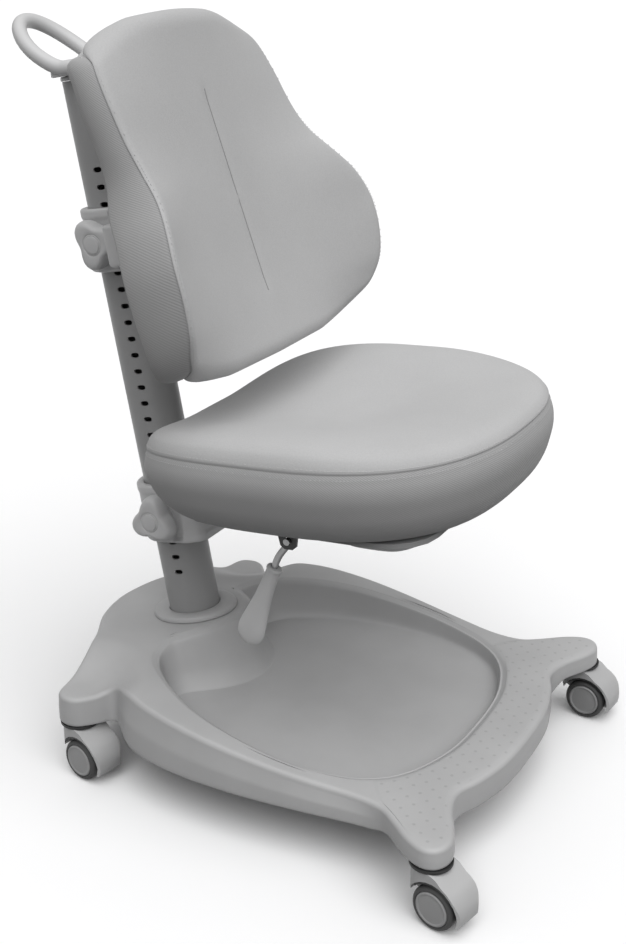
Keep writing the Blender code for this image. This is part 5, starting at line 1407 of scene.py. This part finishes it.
# ================================================================ casters
def built_caster(name):
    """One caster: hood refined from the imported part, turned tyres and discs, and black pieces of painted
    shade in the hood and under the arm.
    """
    swivel = name + "_swivel"
    refined(name + "_caster_hood", "shell", swivel, width=0.0009, segments=3, angle=35)
    x, y = caster_pivot(name)
    # painted shade: a black disc where the gap between the base's arm and the hood's top lies in shadow
    shade_disc = rounded([(0.0, SHADE_DISC_LOW), (SHADE_DISC_RADIUS, SHADE_DISC_LOW), (SHADE_DISC_RADIUS, SHADE_DISC_HIGH),
                      (0.0, SHADE_DISC_HIGH)], 0.0006)
    shade_fills = [lathe(shade_disc, 48) + (x, y, 0.0)]
    for side in ("outer", "inner"):
        body = "%s_%s_wheel" % (name, side)
        joint = JOINTS[body + "_spin"]
        axle, axis = np.array(joint["pos_m"]), np.array(joint["axis"])
        low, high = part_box("%s_%s_tyre" % (name, side))
        middle = np.array([(low[k] + high[k]) / 2 for k in range(3)])
        axis = axis / np.linalg.norm(axis) * np.sign((middle - axle) @ axis)
        axes = (np.cross((0, 0, 1), axis), np.array([0.0, 0.0, 1.0]), axis)
        near, far = WHEEL_NEAR, WHEEL_NEAR + WHEEL_WIDTH
        # painted shade: a black sheet inside the hood over the wheel, where the hood's underside lies in
        # shade
        bend = np.linspace(*HOOD_SHADE_ARC, 40)[:, None]
        reach = np.array([HOOD_SHADE_RADII[0], HOOD_SHADE_RADII[1], HOOD_SHADE_RADII[1], HOOD_SHADE_RADII[0]])
        wide = np.array([near, near, far - 0.001, far - 0.001])
        hood_shade = closed_ends(stack(reach * np.cos(bend), reach * np.sin(bend), wide))
        shade_fills.append(in_frame(hood_shade, axle, axes))
        hub = WHEEL_RADIUS - TYRE_THICKNESS
        tyre = rounded([(hub, near + 0.001), (WHEEL_RADIUS - 0.001, near + 0.001),
                        (WHEEL_RADIUS, near + 0.003), (WHEEL_RADIUS, far - 0.0045),
                        (WHEEL_RADIUS - 0.0022, far - 0.0012), (hub + 0.0008, far - 0.0006),
                        (hub, far - 0.0014)], 0.0012)
        disc = rounded([(AXLE_HOLE, near), (hub - 0.0004, near), (hub - 0.0004, far - 0.0010),
                        (hub - 0.0016, far - 0.0001), (hub - 0.0030, far - 0.0002),
                        (hub - 0.0040, far - 0.0009), (hub * 0.45, far - 0.0005),
                        (0.0, far - 0.0003)], 0.0004)
        disc = np.concatenate([disc, [(0.0, far - 0.0055), (AXLE_HOLE, far - 0.0055)]])
        for kind, profile in (("tyre", tyre), ("disc", disc)):
            sheet = {"points": in_frame(lathe(profile, 72), axle, axes), "loop": True}
            label = "%s_%s_%s" % (name, side, kind)
            made(label + "_turned", [sheet], kind, body, (label,), sharp=50)
    made(name + "_painted_shade_fills", shade_fills, "black", swivel)


# ================================================================ stage
def built_floor():
    """Pale floor: white to the camera, darker in the light that it sends back to the chair."""
    steps = np.linspace(-40, 40, 9)
    sheet = stack(steps[None, :], steps[:, None], -0.0002)
    mesh = mesh_of("studio_floor", [{"points": sheet, "ring": False}])
    shade = bpy.context.scene.study_chair_colours.floor
    material, tree, shader = new_finish("studio_floor", shade, 0.9)
    shader.inputs["Specular IOR Level"].default_value = 0.0
    rays = node(tree, "ShaderNodeLightPath")
    seen = maths(tree, "MAXIMUM", rays.outputs["Is Camera Ray"], rays.outputs["Is Glossy Ray"])
    place = node(tree, "ShaderNodeTexCoord").outputs["Object"]
    white = two_tones(tree, ramp(tree, noise(tree, place, 3.0), 0.3, 0.7), shade, 0.998, 1.002)
    colour_seen = blend_colours(tree, seen, tinted(shade, FLOOR_BOUNCE / shade[0]), white)
    tree.links.new(colour_seen, shader.inputs["Base Color"])
    mesh.materials.append(material)
    floor = bpy.data.objects.new("studio_floor", mesh)
    bpy.context.scene.collection.objects.link(floor)


def built_light():
    """White air that lights the chair from above more than from the side, and a broad soft sun."""
    world = bpy.data.worlds.new("studio_air")
    bpy.context.scene.world = world
    world.use_nodes = True
    tree = world.node_tree
    rays = node(tree, "ShaderNodeLightPath")
    seen = maths(tree, "MAXIMUM", rays.outputs["Is Camera Ray"], rays.outputs["Is Transmission Ray"])
    incoming = node(tree, "ShaderNodeNewGeometry").outputs["Incoming"]
    upward = node(tree, "ShaderNodeSeparateXYZ", Vector=incoming).outputs[2]
    overhead = ramp(tree, upward, 0.0, -1.0, HORIZON * AIR_LIGHT, AIR_LIGHT)
    soft = node(tree, "ShaderNodeBackground", Color=(1, 1, 1, 1), Strength=overhead)
    plain = node(tree, "ShaderNodeBackground", Color=(1, 1, 1, 1), Strength=1.0)
    both = node(tree, "ShaderNodeMixShader", _0=seen, _1=soft.outputs[0], _2=plain.outputs[0])
    tree.links.new(both.outputs[0], tree.nodes["World Output"].inputs["Surface"])
    sun = bpy.data.lights.new("overhead_light", "SUN")
    sun.energy = SUN_LIGHT
    sun.angle = radians(SUN_WIDTH)
    lamp = bpy.data.objects.new("overhead_light", sun)
    bpy.context.scene.collection.objects.link(lamp)
    lamp.rotation_euler = Vector(SUN_FROM).to_track_quat("Z", "Y").to_euler()


def built_camera():
    """Camera, shifted a little off its axis."""
    lens = bpy.data.cameras.new("camera")
    lens.sensor_fit = "VERTICAL"
    lens.sensor_height = SENSOR_HEIGHT
    lens.lens = SENSOR_HEIGHT * FOCAL_LENGTHS
    lens.shift_x, lens.shift_y = VIEW_SHIFT
    camera = bpy.data.objects.new("camera", lens)
    bpy.context.scene.collection.objects.link(camera)
    camera.location = VIEW_FROM
    camera.rotation_euler = (radians(90 - VIEW_DOWN), 0.0, radians(VIEW_TURN))
    bpy.context.scene.camera = camera
    bpy.context.scene.view_settings.view_transform = "Standard"


# ================================================================ operators
class STUDYCHAIR_OT_base(bpy.types.Operator):
    """Build the tray base and the collar round the foot of the mast."""
    bl_idname = "study_chair.base"
    bl_label = "Base"

    def execute(self, context):
        built_base(context)
        built_collar()
        dressed("black", "mast_foot")
        return {"FINISHED"}


class STUDYCHAIR_OT_mast(bpy.types.Operator):
    """Build the perforated mast, its cap and the carrying loop."""
    bl_idname = "study_chair.mast"
    bl_label = "Mast and loop"

    def execute(self, context):
        built_mast()
        built_cap()
        built_handle(context)
        return {"FINISHED"}


class STUDYCHAIR_OT_clamps(bpy.types.Operator):
    """Build the two sliding clamps with their pull-pins and knobs."""
    bl_idname = "study_chair.clamps"
    bl_label = "Clamps and knobs"

    def execute(self, context):
        radius = context.scene.study_chair_sizes.knob_radius
        for name, body in (("backrest", "backrest"), ("seat", "seat_carriage")):
            built_clamp(name, body, STATIONS[name])
            built_pin(name, name + "_pin", STATIONS[name])
            built_knob(name, name + "_grip", STATIONS[name], radius)
        return {"FINISHED"}


class STUDYCHAIR_OT_backrest(bpy.types.Operator):
    """Build the backrest cushion, its shell and the yoke that carries it."""
    bl_idname = "study_chair.backrest"
    bl_label = "Backrest"

    def execute(self, context):
        built_bracket()
        built_backrest(context)
        return {"FINISHED"}


class STUDYCHAIR_OT_seat(bpy.types.Operator):
    """Build the seat cushion, its cover and the steel that it slides on."""
    bl_idname = "study_chair.seat"
    bl_label = "Seat"

    def execute(self, context):
        built_seat(context)
        refined("seat_panel", "board", "seat")
        for name, body in (("seat_rail_left", "seat"), ("seat_rail_right", "seat"),
                           ("seat_slide_plate", "seat_carriage"), ("seat_arm", "seat_carriage")):
            refined(name, "black", body)
        return {"FINISHED"}


class STUDYCHAIR_OT_lever(bpy.types.Operator):
    """Build the lever with its shaft, bracket, spring and paddle grip."""
    bl_idname = "study_chair.lever"
    bl_label = "Lever"

    def execute(self, context):
        built_lever()
        refined("lever_bracket", "black", "seat", width=0.0005)
        return {"FINISHED"}


class STUDYCHAIR_OT_casters(bpy.types.Operator):
    """Build the four twin-wheel casters."""
    bl_idname = "study_chair.casters"
    bl_label = "Casters"

    def execute(self, context):
        for name in CASTERS:
            built_caster(name)
            dressed("zinc", name + "_caster_stem", name + "_caster_axle")
        return {"FINISHED"}


class STUDYCHAIR_OT_stage(bpy.types.Operator):
    """Build the studio floor, its soft light and the camera."""
    bl_idname = "study_chair.stage"
    bl_label = "Stage"

    def execute(self, context):
        built_floor()
        built_light()
        built_camera()
        return {"FINISHED"}


STEPS = (STUDYCHAIR_OT_base, STUDYCHAIR_OT_mast, STUDYCHAIR_OT_clamps, STUDYCHAIR_OT_backrest,
         STUDYCHAIR_OT_seat, STUDYCHAIR_OT_lever, STUDYCHAIR_OT_casters, STUDYCHAIR_OT_stage)


class STUDYCHAIR_PT_pieces(bpy.types.Panel):
    """Sizes, colours and makers of the chair's pieces."""
    bl_idname = "STUDYCHAIR_PT_pieces"
    bl_label = "Study chair"
    bl_space_type = "VIEW_3D"
    bl_region_type = "UI"
    bl_category = "Study chair"

    def draw(self, context):
        for settings in (context.scene.study_chair_sizes, context.scene.study_chair_colours):
            column = self.layout.column(align=True)
            for key in settings.__annotations__:
                column.prop(settings, key)
        for step in STEPS:
            self.layout.operator(step.bl_idname)


CLASSES = (StudyChairSizes, StudyChairColours, *STEPS, STUDYCHAIR_PT_pieces)


def register():
    """Register the classes and hang the settings on the scene."""
    for kind in CLASSES:
        bpy.utils.register_class(kind)
    bpy.types.Scene.study_chair_sizes = PointerProperty(type=StudyChairSizes)
    bpy.types.Scene.study_chair_colours = PointerProperty(type=StudyChairColours)


def unregister():
    """Undo register."""
    del bpy.types.Scene.study_chair_sizes
    del bpy.types.Scene.study_chair_colours
    for kind in reversed(CLASSES):
        bpy.utils.unregister_class(kind)


def main():
    """Build every piece in order."""
    register()
    for step in STEPS:
        group, name = step.bl_idname.split(".")
        getattr(getattr(bpy.ops, group), name)()


if __name__ == "__main__":
    main()
